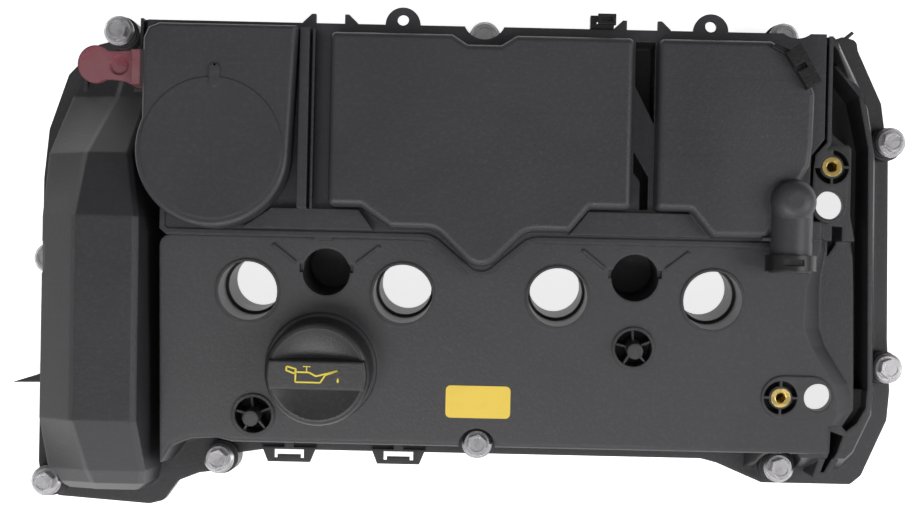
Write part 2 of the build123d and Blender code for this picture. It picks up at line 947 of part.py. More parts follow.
# Hollow of the shell: every form drawn in by one wall, kept clear of flange and valleys
with BuildPart() as cavity:
    add(deck_inner)
    add(tray_inner)
    add(hump_inner)
    add(end_inner)
    add(shoulder_inner)
    # Way through between the deck and the rear body
    with BuildSketch(level(FLANGE_BASE)):
        with Locations((-1, 32)):
            Rectangle(328, 16)
    extrude(amount=TRAY_TOP - 2 * WALL - FLANGE_BASE)
    # Room under the rear sensor boss, opening outwards for the sensor
    with BuildSketch(level(RIM_TOP - 2 * WALL)):
        add(rear_boss_bore)
    extrude(amount=REAR_BOSS_TOP - SENSOR_PLATE - RIM_TOP + 2 * WALL)
    with BuildSketch(level(REAR_BOSS_TOP - SENSOR_PLATE)):
        with Locations(REAR_HOLE):
            Circle(SENSOR_R + SENSOR_ROOM / 2)
    with BuildSketch(level(FLANGE_BASE)):
        with Locations((REAR_HOLE[0] + SENSOR_SIGHT[0], REAR_HOLE[1] + SENSOR_SIGHT[1])):
            Circle(SENSOR_R + 1)
    loft()
    add(flange_hollow)
    add(cavity_limit, mode=Mode.INTERSECT)
    add(trough_guard, mode=Mode.SUBTRACT)
    # Niches of the bolt heads keep their walls
    with BuildSketch(level(FLANGE_BASE)):
        with Locations(*BOLTS):
            Circle(BOLT_FLANGE_R + 1.6 + WALL)
    extrude(amount=TRAY_TOP, mode=Mode.SUBTRACT)

# Main shell: walls, bolting flange, tubes, wells, bosses and brackets
with BuildPart() as cover_shell:
    add(deck_outer)
    add(tray_outer)
    add(hump_outer)
    add(end_outer)
    add(flange_block)

    add(shoulder_outer)
    with BuildSketch(level(RIM_TOP - 2 * WALL)):
        add(rear_boss_full)
    extrude(amount=REAR_BOSS_TOP - RIM_TOP + 2 * WALL)

    # Corner web between the tray and the flange
    with BuildSketch(level(FLANGE_BASE)):
        with BuildLine():
            Polyline(
                (176, 143.4),
                (176, 139),
                (188, 139),
                (222, 99),
                (227, 100),
                (222, 114),
                (204, 143.4),
                close=True,
            )
        make_face()
    with BuildSketch(level(TRAY_TOP)):
        with BuildLine():
            Polyline(
                (180, 143.4),
                (180, 139),
                (188, 139),
                (190.4, 136.4),
                (191, 137),
                (190, 141),
                (188, 143.4),
                close=True,
            )
        make_face()
    loft(ruled=True)

    # Bolt lugs
    with BuildSketch(level(FLANGE_BASE)):
        with Locations(*BOLTS):
            Circle(LUG_R)
    extrude(amount=LUG_TOP - FLANGE_BASE)

    add(trough_blocks)
    add(cavity.part, mode=Mode.SUBTRACT)
    add(trough_cuts, mode=Mode.SUBTRACT)
    with BuildSketch(level(TRAY_TOP)):
        add(lid_full)
    extrude(amount=LID_FLANGE_TOP - TRAY_TOP, mode=Mode.SUBTRACT)
    with BuildSketch(DECK.offset(-13)):
        with Locations(*[deck_point(spot) for spot in SPOKED]):
            Circle(SPOKED_R - 1.7)
    extrude(amount=15, mode=Mode.SUBTRACT)
    add(fittings.part)
    add(bores.part, mode=Mode.SUBTRACT)
cover_shell.part.label = "cover_shell"
export_step(cover_shell.part, "parts/cover_shell.step")


middle_outer = panel_form(MIDDLE_PANEL, 0, LID_FLANGE_TOP - 1, 3.4)
middle_inner = panel_form(MIDDLE_PANEL, 2.4, TRAY_TOP, 0)
right_outer = panel_form(RIGHT_PANEL, 0, LID_FLANGE_TOP - 1, 3.4)
right_inner = panel_form(RIGHT_PANEL, 2.4, TRAY_TOP, 0)
front_bead = lid_bead(0.4, 3.0, LID_FLANGE_TOP, LID_FLANGE_TOP + 1.2)

# Separator lid: weld flange, panels, channels, ears, elbow with outlet pipe and vent port
with BuildPart() as separator_lid:
    with BuildSketch(level(TRAY_TOP)):
        add(lid_full)
        with Locations((-84.8, 31)):
            Rectangle(9.5, 6)
        with Locations((-184.5, PORT_Y)):
            Rectangle(8, 22)
        with Locations(*[(x, LID_REAR) for x in EARS]):
            Circle(EAR_R)
        with Locations(*[(x, EAR_HOLE_Y) for x in EARS]):
            Circle(EAR_HOLE_R, mode=Mode.SUBTRACT)
        with Locations((BOLTS[1][0], BOLTS[1][1] + 3.7), (BOLTS[2][0], BOLTS[2][1] + 5)):
            Circle(11.6, mode=Mode.SUBTRACT)
    extrude(amount=LID_FLANGE_TOP - TRAY_TOP)
    with BuildSketch(level(TRAY_TOP)):
        for x, side in HOOKS:
            with BuildLine():
                Polyline(
                    (x, LID_REAR - 1),
                    (x + side * 7, LID_REAR - 1),
                    (x + side * 7, LID_REAR + 5),
                    (x + side * 4.8, LID_REAR + 5),
                    (x, LID_REAR + 0.4),
                    close=True,
                )
            make_face()
    extrude(amount=LID_FLANGE_TOP - TRAY_TOP)
    add(front_bead)
    add(middle_outer)
    add(right_outer)
    # Ledges at the foot of the channels
    with BuildSketch(level(LID_FLANGE_TOP - 0.5)):
        for ledge in LEDGES:
            with BuildLine():
                Polyline(*ledge, close=True)
            make_face()
    extrude(amount=5)
    # Ribs of the left channel
    with BuildSketch(level(LID_FLANGE_TOP - 0.5)):
        with Locations((-95.9, 92.5)):
            Rectangle(5, 96)
    extrude(amount=11)
    with BuildSketch(level(LID_FLANGE_TOP - 0.5)):
        with Locations((-91.3, 92.5)):
            Rectangle(1.2, 96)
    extrude(amount=8)
    # Chamber wall of the regulator
    with BuildSketch(level(LID_FLANGE_TOP - 0.5)):
        with Locations(REG):
            Circle(REG_CHAMBER_R)
            Circle(REG_CHAMBER_R - 2.5, mode=Mode.SUBTRACT)
    extrude(amount=REG_CLAMP_Z - LID_FLANGE_TOP + 0.5)
    # Vent port for the plug
    with BuildSketch(level(LID_FLANGE_TOP - 0.5)):
        with Locations((-176.6, PORT_Y)):
            Rectangle(9, 18.6)
    extrude(amount=PORT_Z + 9.6 - LID_FLANGE_TOP)
    # Elbow and outlet pipe
    with BuildSketch(level(LID_FLANGE_TOP)):
        with Locations((PIPE_X, PIPE_ELBOW_Y)):
            Circle(ELBOW_R)
    extrude(amount=PIPE_Z + PIPE_R + 2 - LID_FLANGE_TOP)
    elbow_top = separator_lid.faces().sort_by(Axis.Z)[-1]
    fillet(elbow_top.edges(), 8)
    with BuildSketch(station(PIPE_END_Y)):
        with Locations((PIPE_X, PIPE_Z)):
            Circle(PIPE_R)
    extrude(amount=-(PIPE_ELBOW_Y - PIPE_END_Y))
    with BuildSketch(level(PIPE_Z - 2)):
        with Locations((PIPE_X, 33)):
            Rectangle(2 * PIPE_R + 9, 1.6)
    extrude(amount=4)
    add(middle_inner, mode=Mode.SUBTRACT)
    add(right_inner, mode=Mode.SUBTRACT)
    # Bores of pipe and port
    with BuildSketch(station(PIPE_END_Y - 1)):
        with Locations((PIPE_X, PIPE_Z)):
            Circle(PIPE_BORE_R)
    extrude(amount=-(PIPE_ELBOW_Y - PIPE_END_Y + 5), mode=Mode.SUBTRACT)
    with BuildSketch(level(TRAY_TOP)):
        with Locations((PIPE_X, PIPE_ELBOW_Y)):
            Circle(PIPE_BORE_R + 1)
    extrude(amount=PIPE_Z - TRAY_TOP + 4, mode=Mode.SUBTRACT)
    with BuildSketch(Plane(origin=(ROW_X - 186, ROW_Y, 0), x_dir=(0, 1, 0), z_dir=(1, 0, 0))):
        with Locations((PORT_Y, PORT_Z)):
            Circle(PORT_BORE_R)
    extrude(amount=12, mode=Mode.SUBTRACT)
    # Openings of the right channel
    with BuildSketch(level(TRAY_TOP - 1)):
        for slot in CHANNEL_SLOTS:
            with BuildLine():
                Polyline(*slot, close=True)
            make_face()
    extrude(amount=8, mode=Mode.SUBTRACT)
separator_lid.part.label = "separator_lid"
export_step(separator_lid.part, "parts/separator_lid.step")

# Loom clip on the rear edge
with BuildPart() as loom_clip:
    with BuildSketch(level(TRAY_TOP)):
        with Locations((62.1, LID_REAR + 3.4)):
            Rectangle(12.6, 6.8)
            Rectangle(6, 2.2, mode=Mode.SUBTRACT)
    extrude(amount=7)
    with BuildSketch(level(TRAY_TOP + 5)):
        with Locations((64.6, LID_REAR + 4.8)):
            Rectangle(9.6, 5.6)
            Rectangle(6, 2.2, mode=Mode.SUBTRACT)
    extrude(amount=4)
loom_clip.part.label = "loom_clip"
export_step(loom_clip.part, "parts/loom_clip.step")

cap_outer = cap_form(0, LID_FLANGE_TOP, 2.6)
cap_inner = cap_form(2.2, LID_FLANGE_TOP, 0)

# Regulator cap
with BuildPart() as regulator_cap:
    add(cap_outer)
    # Raised disc with a vent tab
    with BuildSketch(level(CAP_TOP - 1)):
        with Locations((REG[0], REG[1] + 1.4)):
            Circle(REG_CAP_R - 3.2)
    extrude(amount=1.5)
    with BuildSketch(level(CAP_TOP - 1)):
        with Locations((REG[0] + 1, 112.4)):
            SlotOverall(12.5, 5.6, rotation=90)
    extrude(amount=2.2)
    add(cap_inner, mode=Mode.SUBTRACT)
    # Ring that holds the edge of the diaphragm
    with BuildSketch(level(REG_CLAMP_Z + 1.4)):
        with Locations(REG):
            Circle(REG_CHAMBER_R)
            Circle(REG_CHAMBER_R - 2.5, mode=Mode.SUBTRACT)
    extrude(amount=CAP_TOP - 1.5 - REG_CLAMP_Z - 1.4)
    # Way for the vent port
    with BuildSketch(level(LID_FLANGE_TOP)):
        with Locations((-178, PORT_Y)):
            Rectangle(13, 19.4)
    extrude(amount=PORT_Z + 9.6 - LID_FLANGE_TOP, mode=Mode.SUBTRACT)
    # Breather hole in the tab
    with BuildSketch(level(CAP_TOP - 5)):
        with Locations((REG[0] + 1, 118)):
            Circle(0.7)
    extrude(amount=10, mode=Mode.SUBTRACT)
regulator_cap.part.label = "regulator_cap"
export_step(regulator_cap.part, "parts/regulator_cap.step")

# Diaphragm: clamped rim, rolling fold and flat middle
with BuildPart() as regulator_diaphragm:
    with BuildSketch(Plane(origin=REG_AXIS.position, x_dir=(1, 0, 0), z_dir=(0, -1, 0))):
        with BuildLine():
            Polyline(
                (0, REG_PLATE_Z - 1),
                (REG_PLATE_R + 2, REG_PLATE_Z - 1),
                (24, REG_PLATE_Z - 2.6),
                (30, REG_PLATE_Z - 1.4),
                (32.4, REG_CLAMP_Z),
                (REG_CHAMBER_R, REG_CLAMP_Z),
                (REG_CHAMBER_R, REG_CLAMP_Z + 1.4),
                (31.6, REG_CLAMP_Z + 1.4),
                (29.2, REG_PLATE_Z - 0.2),
                (24, REG_PLATE_Z - 1.4),
                (REG_PLATE_R + 2, REG_PLATE_Z),
                (0, REG_PLATE_Z),
                close=True,
            )
        make_face()
    revolve(axis=REG_AXIS)
regulator_diaphragm.part.label = "regulator_diaphragm"
export_step(regulator_diaphragm.part, "parts/regulator_diaphragm.step")

# Plate on the diaphragm
with BuildPart() as regulator_plate:
    with BuildSketch(level(REG_PLATE_Z)):
        with Locations(REG):
            Circle(REG_PLATE_R)
    extrude(amount=1.6)
    with BuildSketch(level(REG_PLATE_Z)):
        with Locations(REG):
            Circle(5)
    extrude(amount=4)
    fillet(regulator_plate.faces().sort_by(Axis.Z)[-1].edges(), 0.8)
regulator_plate.part.label = "regulator_plate"
export_step(regulator_plate.part, "parts/regulator_plate.step")

# Return spring under the diaphragm
with BuildPart() as regulator_spring:
    with BuildLine(Plane((ROW_X + REG[0], ROW_Y + REG[1], LID_FLANGE_TOP + SPRING_WIRE))) as coil:
        Helix(pitch=2.4, height=REG_PLATE_Z - 1 - LID_FLANGE_TOP - 2 * SPRING_WIRE, radius=9)
    with BuildSketch(Plane(origin=coil.line @ 0, z_dir=coil.line % 0)):
        Circle(SPRING_WIRE)
    sweep()
regulator_spring.part.label = "regulator_spring"
export_step(regulator_spring.part, "parts/regulator_spring.step")

# Oil baffle under the drain window
with BuildPart() as oil_baffle:
    with BuildSketch(level(TRAY_TOP - WALL - 2)):
        with Locations(BAFFLE_SPOT):
            RectangleRounded(BAFFLE_X, BAFFLE_Y, 6)
            with GridLocations(18, 24, 6, 2):
                SlotOverall(11, 3, mode=Mode.SUBTRACT)
    extrude(amount=2)
    with BuildSketch(level(TRAY_TOP - WALL - 8)):
        with Locations(BAFFLE_SPOT):
            Rectangle(BAFFLE_X - 20, 1.6)
            with GridLocations(BAFFLE_X - 20, 0, 2, 1):
                Rectangle(1.6, BAFFLE_Y - 16)
    extrude(amount=6.5)
oil_baffle.part.label = "oil_baffle"
export_step(oil_baffle.part, "parts/oil_baffle.step")

# Flange gasket
with BuildPart() as cover_gasket:
    add(gasket_ring)
cover_gasket.part.label = "cover_gasket"
export_step(cover_gasket.part, "parts/cover_gasket.step")

# Rings at the feet of the plug tubes
with BuildPart() as plug_tube_seals:
    with BuildSketch(DECK.offset(-TUBE_DEPTH - 2)):
        with Locations(*TUBES):
            Circle(TUBE_R + WALL - 0.2)
            Circle(TUBE_NECK_R + 0.2, mode=Mode.SUBTRACT)
    extrude(amount=2)
    with BuildSketch(DECK.offset(-TUBE_DEPTH)):
        with Locations(*TUBES):
            Circle(SEAL_GROOVE_R + 0.7)
            Circle(SEAL_GROOVE_R - 0.7, mode=Mode.SUBTRACT)
    extrude(amount=2.4)
plug_tube_seals.part.label = "plug_tube_seals"
export_step(plug_tube_seals.part, "parts/plug_tube_seals.step")

# Oil filler cap with grip bar and bayonet lugs
with BuildPart() as oil_filler_cap:
    with BuildSketch(CAP_SECTION):
        with BuildLine():
            Polyline(
                (0, CAP_FLOOR),
                (0, CAP_FLOOR - 3),
                (CAP_STEM_R - 2.5, CAP_FLOOR - 3),
                (CAP_STEM_R - 2.5, -3),
                (CAP_STEM_R, -3),
                (CAP_STEM_R, NECK_RISE + 2),
                (NECK_R + 0.5, NECK_RISE + 2),
                (NECK_R + 0.5, CAP_FOOT),
                (CAP_R, CAP_FOOT),
                (CAP_R, CAP_RIM - CAP_ROUND),
            )
            RadiusArc((CAP_R, CAP_RIM - CAP_ROUND), (CAP_R - CAP_ROUND, CAP_RIM), -CAP_ROUND)
            ThreePointArc((CAP_R - CAP_ROUND, CAP_RIM), (15, CAP_FLOOR + 1.6), (0, CAP_FLOOR))
        make_face()
    revolve(axis=Axis(CAP_SECTION.origin, DECK.z_dir))
    with BuildSketch(DECK.offset(CAP_FLOOR - 1)):
        with Locations(deck_point(FILLER)):
            Circle(CAP_R - 1)
            Rectangle(2 * CAP_R, GRIP_WIDTH, mode=Mode.INTERSECT)
    extrude(amount=CAP_DISH + 4, taper=5)
    fillet(oil_filler_cap.faces().sort_by(Axis(CAP_SECTION.origin, DECK.z_dir))[-1].edges(), 1.2)
    with BuildSketch(DECK.offset(LIP_Z - 3.6)):
        with Locations(deck_point(FILLER)):
            Circle(NECK_BORE_R - 0.6)
            Circle(CAP_STEM_R - 1, mode=Mode.SUBTRACT)
            Rectangle(2 * NECK_BORE_R, 10, mode=Mode.INTERSECT)
    extrude(amount=3.2)
oil_filler_cap.part.label = "oil_filler_cap"
export_step(oil_filler_cap.part, "parts/oil_filler_cap.step")

# Seal between cap and neck
with BuildPart() as filler_cap_seal:
    with BuildSketch(DECK.offset(NECK_RISE + 0.06)):
        with Locations(deck_point(FILLER)):
            Circle(NECK_R - 0.6)
            Circle(CAP_STEM_R + 2.4, mode=Mode.SUBTRACT)
    extrude(amount=1.94)
filler_cap_seal.part.label = "filler_cap_seal"
export_step(filler_cap_seal.part, "parts/filler_cap_seal.step")

# Captive flange bolts, standing in their grommets
with BuildPart() as cover_bolts:
    with BuildSketch(level(0)):
        with Locations(*BOLTS):
            Circle(BOLT_R)
    extrude(amount=BOLT_FLANGE_Z)
    chamfer(cover_bolts.edges().group_by(Axis.Z)[0], 0.8)
    with BuildSketch(level(BOLT_FLANGE_Z)):
        with Locations(*BOLTS):
            Circle(BOLT_FLANGE_R)
    extrude(amount=1.4)
    with BuildSketch(level(BOLT_FLANGE_Z + 1.4)):
        with Locations(*BOLTS):
            Circle(BOLT_FLANGE_R)
    extrude(amount=1.2, taper=50)
    with BuildSketch(level(BOLT_FLANGE_Z + 1)):
        with Locations(*BOLTS):
            RegularPolygon(BOLT_HEX / 2, 6, major_radius=False, rotation=20)
    extrude(amount=7.4)
    with BuildSketch(level(BOLT_FLANGE_Z + 8)):
        with Locations(*BOLTS):
            Circle(BOLT_HEX / 2 - 1)
    extrude(amount=1, mode=Mode.SUBTRACT)
cover_bolts.part.label = "cover_bolts"
export_step(cover_bolts.part, "parts/cover_bolts.step")

# Steel sleeves that take the clamping force
with BuildPart() as bolt_sleeves:
    with BuildSketch(level(FLANGE_BASE)):
        with Locations(*BOLTS):
            Circle(SLEEVE_R)
            Circle(SLEEVE_BORE_R, mode=Mode.SUBTRACT)
    extrude(amount=LUG_TOP + 0.4 - FLANGE_BASE)
bolt_sleeves.part.label = "bolt_sleeves"
export_step(bolt_sleeves.part, "parts/bolt_sleeves.step")

# Rubber grommets round the sleeves, with a lip that holds the bolt
with BuildPart() as bolt_grommets:
    with BuildSketch(level(FLANGE_BASE)):
        with Locations(*BOLTS):
            Circle(GROMMET_R)
    extrude(amount=LUG_TOP - FLANGE_BASE)
    with BuildSketch(level(LUG_TOP)):
        with Locations(*BOLTS):
            Circle(GROMMET_R + 1.6)
    extrude(amount=1.6)
    with BuildSketch(level(FLANGE_BASE)):
        with Locations(*BOLTS):
            Circle(SLEEVE_R)
    extrude(amount=LUG_TOP + 0.4 - FLANGE_BASE, mode=Mode.SUBTRACT)
    with BuildSketch(level(LUG_TOP)):
        with Locations(*BOLTS):
            Circle(BOLT_R)
    extrude(amount=3, mode=Mode.SUBTRACT)
bolt_grommets.part.label = "bolt_grommets"
export_step(bolt_grommets.part, "parts/bolt_grommets.step")

# Threaded inserts of the sensor bosses
with BuildPart() as rear_sensor_insert:
    with BuildSketch(level(REAR_BOSS_TOP - INSERT_LENGTH)):
        with Locations(REAR_INSERT):
            Circle(INSERT_R)
            Circle(INSERT_BORE_R, mode=Mode.SUBTRACT)
    extrude(amount=INSERT_LENGTH + INSERT_PROUD)
    chamfer(rear_sensor_insert.faces().sort_by(Axis.Z)[-1].inner_wires()[0].edges(), 0.5)
rear_sensor_insert.part.label = "rear_sensor_insert"
export_step(rear_sensor_insert.part, "parts/rear_sensor_insert.step")

with BuildPart() as front_sensor_insert:
    with BuildSketch(DECK.offset(FRONT_BOSS_RISE - INSERT_LENGTH)):
        with Locations(deck_point(FRONT_INSERT)):
            Circle(INSERT_R)
            Circle(INSERT_BORE_R, mode=Mode.SUBTRACT)
    extrude(amount=INSERT_LENGTH + INSERT_PROUD)
    chamfer(front_sensor_insert.faces().sort_by(Axis.Z)[-1].inner_wires()[0].edges(), 0.5)
front_sensor_insert.part.label = "front_sensor_insert"
export_step(front_sensor_insert.part, "parts/front_sensor_insert.step")

# Red plug in the vent port: stem, square collar and finger paddle with a dished thumb mark
with BuildPart() as shipping_plug:
    with BuildSketch(Plane(origin=(ROW_X - 181.3, ROW_Y, 0), x_dir=(0, 1, 0), z_dir=(1, 0, 0))):
        with Locations((PORT_Y, PORT_Z)):
            Circle(PORT_BORE_R - 0.06)
    extrude(amount=6)
    with BuildSketch(level(LID_FLANGE_TOP + 0.6)):
        with Locations((-183.8, PORT_Y)):
            Rectangle(5.1, 18.4)
    extrude(amount=16)
    with BuildSketch(level(PORT_Z + 1)) as paddle:
        with BuildLine():
            Polyline(
                (-183, PORT_Y - 9.2),
                (-183, PORT_Y + 9.2),
                (-187, PORT_Y + 9.2),
                (-195, PORT_Y + 8.4),
                (-204, PORT_Y + 8.9),
                (-204, PORT_Y - 6.4),
                (-195, PORT_Y - 6.6),
                (-190, PORT_Y - 7.4),
                (-186.4, PORT_Y - 9.2),
                close=True,
            )
        make_face()
        with Locations((-206.2, PORT_Y + 1.5)):
            Ellipse(9.2, 9.9)
        fillet([v for v in paddle.vertices() if v.X < -199], 3)
    extrude(amount=3.6)
    fillet(shipping_plug.faces().sort_by(Axis.Z)[-1].edges().sort_by(Axis.X)[0], 0.8)
    with BuildSketch(level(PORT_Z + 4.6 - 1.8)):
        with Locations((-193.6, PORT_Y + 1)):
            Circle(4.2)
    extrude(amount=3, taper=-25, mode=Mode.SUBTRACT)
shipping_plug.part.label = "shipping_plug"
export_step(shipping_plug.part, "parts/shipping_plug.step")

# Cable clip on the right panel
with BuildPart() as cable_clip:
    with BuildSketch(level(PANEL_TOP)):
        with BuildLine():
            Polyline((157.5, 130.6), (169.4, 112), (176.6, 115.8), (164.7, 136), close=True)
        make_face()
    extrude(amount=6.4)
    with BuildSketch(level(PANEL_TOP + 2)):
        with BuildLine():
            Polyline((163.5, 120.5), (169, 123.5), (167.4, 126.2), (162, 123.2), close=True)
        make_face()
    extrude(amount=6, mode=Mode.SUBTRACT)
    with BuildSketch(level(PANEL_TOP)):
        with BuildLine():
            Polyline((150.4, 134.2), (158, 130.4), (161, 132.6), (152.6, 136), close=True)
        make_face()
    extrude(amount=2.2)
cable_clip.part.label = "cable_clip"
export_step(cable_clip.part, "parts/cable_clip.step")

# Quick-connector collar on the outlet pipe
with BuildPart() as outlet_collar:
    with BuildSketch(station(PIPE_END_Y + 0.8)):
        with Locations((PIPE_X, PIPE_Z)):
            Circle(COLLAR_PIPE_R)
            Circle(PIPE_R, mode=Mode.SUBTRACT)
    extrude(amount=-8.4)
    with BuildSketch(level(PIPE_Z + PIPE_R + 0.8)):
        with Locations((PIPE_X - 1, PIPE_END_Y + 5.2)):
            Rectangle(11, 3.2)
    extrude(amount=6, mode=Mode.SUBTRACT)
outlet_collar.part.label = "outlet_collar"
export_step(outlet_collar.part, "parts/outlet_collar.step")
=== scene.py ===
"""Finishes, small fittings, light and camera for a moulded engine valve cover."""

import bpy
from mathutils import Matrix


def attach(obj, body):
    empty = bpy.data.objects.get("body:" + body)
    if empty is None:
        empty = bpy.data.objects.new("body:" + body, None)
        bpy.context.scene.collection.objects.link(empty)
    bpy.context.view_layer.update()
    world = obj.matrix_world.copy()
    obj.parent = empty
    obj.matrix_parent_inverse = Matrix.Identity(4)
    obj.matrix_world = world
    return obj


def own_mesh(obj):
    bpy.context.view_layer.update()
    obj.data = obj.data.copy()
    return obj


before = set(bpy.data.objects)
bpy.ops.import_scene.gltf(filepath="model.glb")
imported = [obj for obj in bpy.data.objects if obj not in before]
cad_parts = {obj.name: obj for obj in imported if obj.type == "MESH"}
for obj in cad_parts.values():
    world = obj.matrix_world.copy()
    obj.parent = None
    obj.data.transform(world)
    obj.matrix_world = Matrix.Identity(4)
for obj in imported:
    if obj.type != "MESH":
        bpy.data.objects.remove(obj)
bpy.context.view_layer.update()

import logging
import math
from dataclasses import dataclass, field
from enum import Enum

import bmesh
import bpy
from mathutils import Matrix, Vector

log = logging.getLogger("valve_cover")

MM = 0.001
ROW_X = 14.25
ROW_Y = -17.4
DECK_HEIGHT = 58.0
DECK_TILT = math.radians(7.0)
BORE_PITCH = 84.0
TUBE_R = 16.0
BORE_MARGIN = 0.3
BORE_START = 0.6
RING_DEPTH = 24.6
RING_HALF = 0.9
THREAD_PITCH = 0.001
THREAD_RELIEF = 22.0
DUST_COLOUR = (0.22, 0.21, 0.20)
WHITE = (1.0, 1.0, 1.0, 1.0)

Point = tuple[float, float]
Colour = tuple[float, float, float]


class Body(Enum):
    """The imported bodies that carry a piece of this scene."""

    COVER = "cover"
    FILLER_CAP = "filler_cap"


class Slot(Enum):
    """The record's material slots of the shell and cap plastics."""

    SHELL = "shell_plastic"
    CAP = "cap_plastic"


@dataclass(frozen=True)
class DeckPlane:
    """The sloping deck, on which positions are counted from the middle of the plug tubes.

    Attributes:
        lift: height above the deck's surface in millimetres.
    """

    lift: float = 0.0

    def matrix(self) -> Matrix:
        """Gives the matrix from deck millimetres to the frame's metres.

        Returns:
            A 4x4 matrix with the deck's axes, its origin at the tube row.
        """
        cos, sin = math.cos(DECK_TILT), math.sin(DECK_TILT)
        origin = Vector((ROW_X, ROW_Y - self.lift * sin, DECK_HEIGHT + self.lift * cos)) * MM
        x_axis, y_axis, z_axis = Vector((1, 0, 0)), Vector((0, cos, sin)), Vector((0, -sin, cos))
        turn = Matrix((x_axis, y_axis, z_axis)).transposed().to_4x4()
        return Matrix.Translation(origin) @ turn @ Matrix.Scale(MM, 4)

    @staticmethod
    def along(spot: Point) -> Point:
        """Turns a plan position into one measured along the slope.

        Args:
            spot: plan position in millimetres.

        Returns:
            The same place on the deck's own axes.
        """
        return spot[0], spot[1] / math.cos(DECK_TILT)


# Node groups


class NodeWriter:
    """Adds and joins the nodes of one tree.

    Attributes:
        tree: the node tree.
    """

    tree: bpy.types.NodeTree

    def node(self, kind: str, **settings: object) -> bpy.types.Node:
        """Adds a node and sets its properties.

        Args:
            kind: the node's type name.
            **settings: property values.

        Returns:
            The new node.
        """
        made = self.tree.nodes.new(kind)
        for key, value in settings.items():
            setattr(made, key, value)
        return made

    def link(self, start: bpy.types.NodeSocket, end: bpy.types.NodeSocket) -> None:
        """Joins two sockets."""
        self.tree.links.new(start, end)

    def math(
        self, operation: str, first: object, second: object, clamp: bool = False
    ) -> bpy.types.NodeSocket:
        """Adds a Math node fed by sockets or numbers.

        Args:
            operation: the Math node's operation.
            first: socket or number for the first input.
            second: socket or number for the second input.
            clamp: whether the result is held between 0 and 1.

        Returns:
            The node's output.
        """
        made = self.node("ShaderNodeMath", operation=operation, use_clamp=clamp)
        for index, value in enumerate((first, second)):
            if isinstance(value, bpy.types.NodeSocket):
                self.link(value, made.inputs[index])
            else:
                made.inputs[index].default_value = value
        return made.outputs[0]

    def size(self, value: bpy.types.NodeSocket) -> bpy.types.NodeSocket:
        """Gives the absolute value of a socket."""
        return self.math("ABSOLUTE", value, 0.0)

    def spread(self, value: bpy.types.NodeSocket, low: float, high: float) -> bpy.types.NodeSocket:
        """Stretches a range of values to 0 and 1.

        Args:
            value: the values.
            low: the value that becomes 0.
            high: the value that becomes 1.

        Returns:
            The stretched values.
        """
        made = self.node("ShaderNodeMapRange")
        made.inputs["From Min"].default_value = low
        made.inputs["From Max"].default_value = high
        self.link(value, made.inputs["Value"])
        return made.outputs["Result"]


class GroupBuilder(NodeWriter):
    """Starts a shader node group and its named sockets."""

    KINDS = {"value": "NodeSocketFloat", "vector": "NodeSocketVector"}

    def __init__(self, name: str, inputs: dict[str, float], outputs: dict[str, str]) -> None:
        """Makes the empty group.

        Args:
            name: the group's name.
            inputs: default value of each input by name.
            outputs: kind of each output by name.
        """
        self.tree = bpy.data.node_groups.new(name, "ShaderNodeTree")
        face = self.tree.interface
        for label, default in inputs.items():
            socket = face.new_socket(name=label, in_out="INPUT", socket_type=self.KINDS["value"])
            socket.default_value = default
        for label, kind in outputs.items():
            face.new_socket(name=label, in_out="OUTPUT", socket_type=self.KINDS[kind])
        self.source = self.tree.nodes.new("NodeGroupInput")
        self.sink = self.tree.nodes.new("NodeGroupOutput")


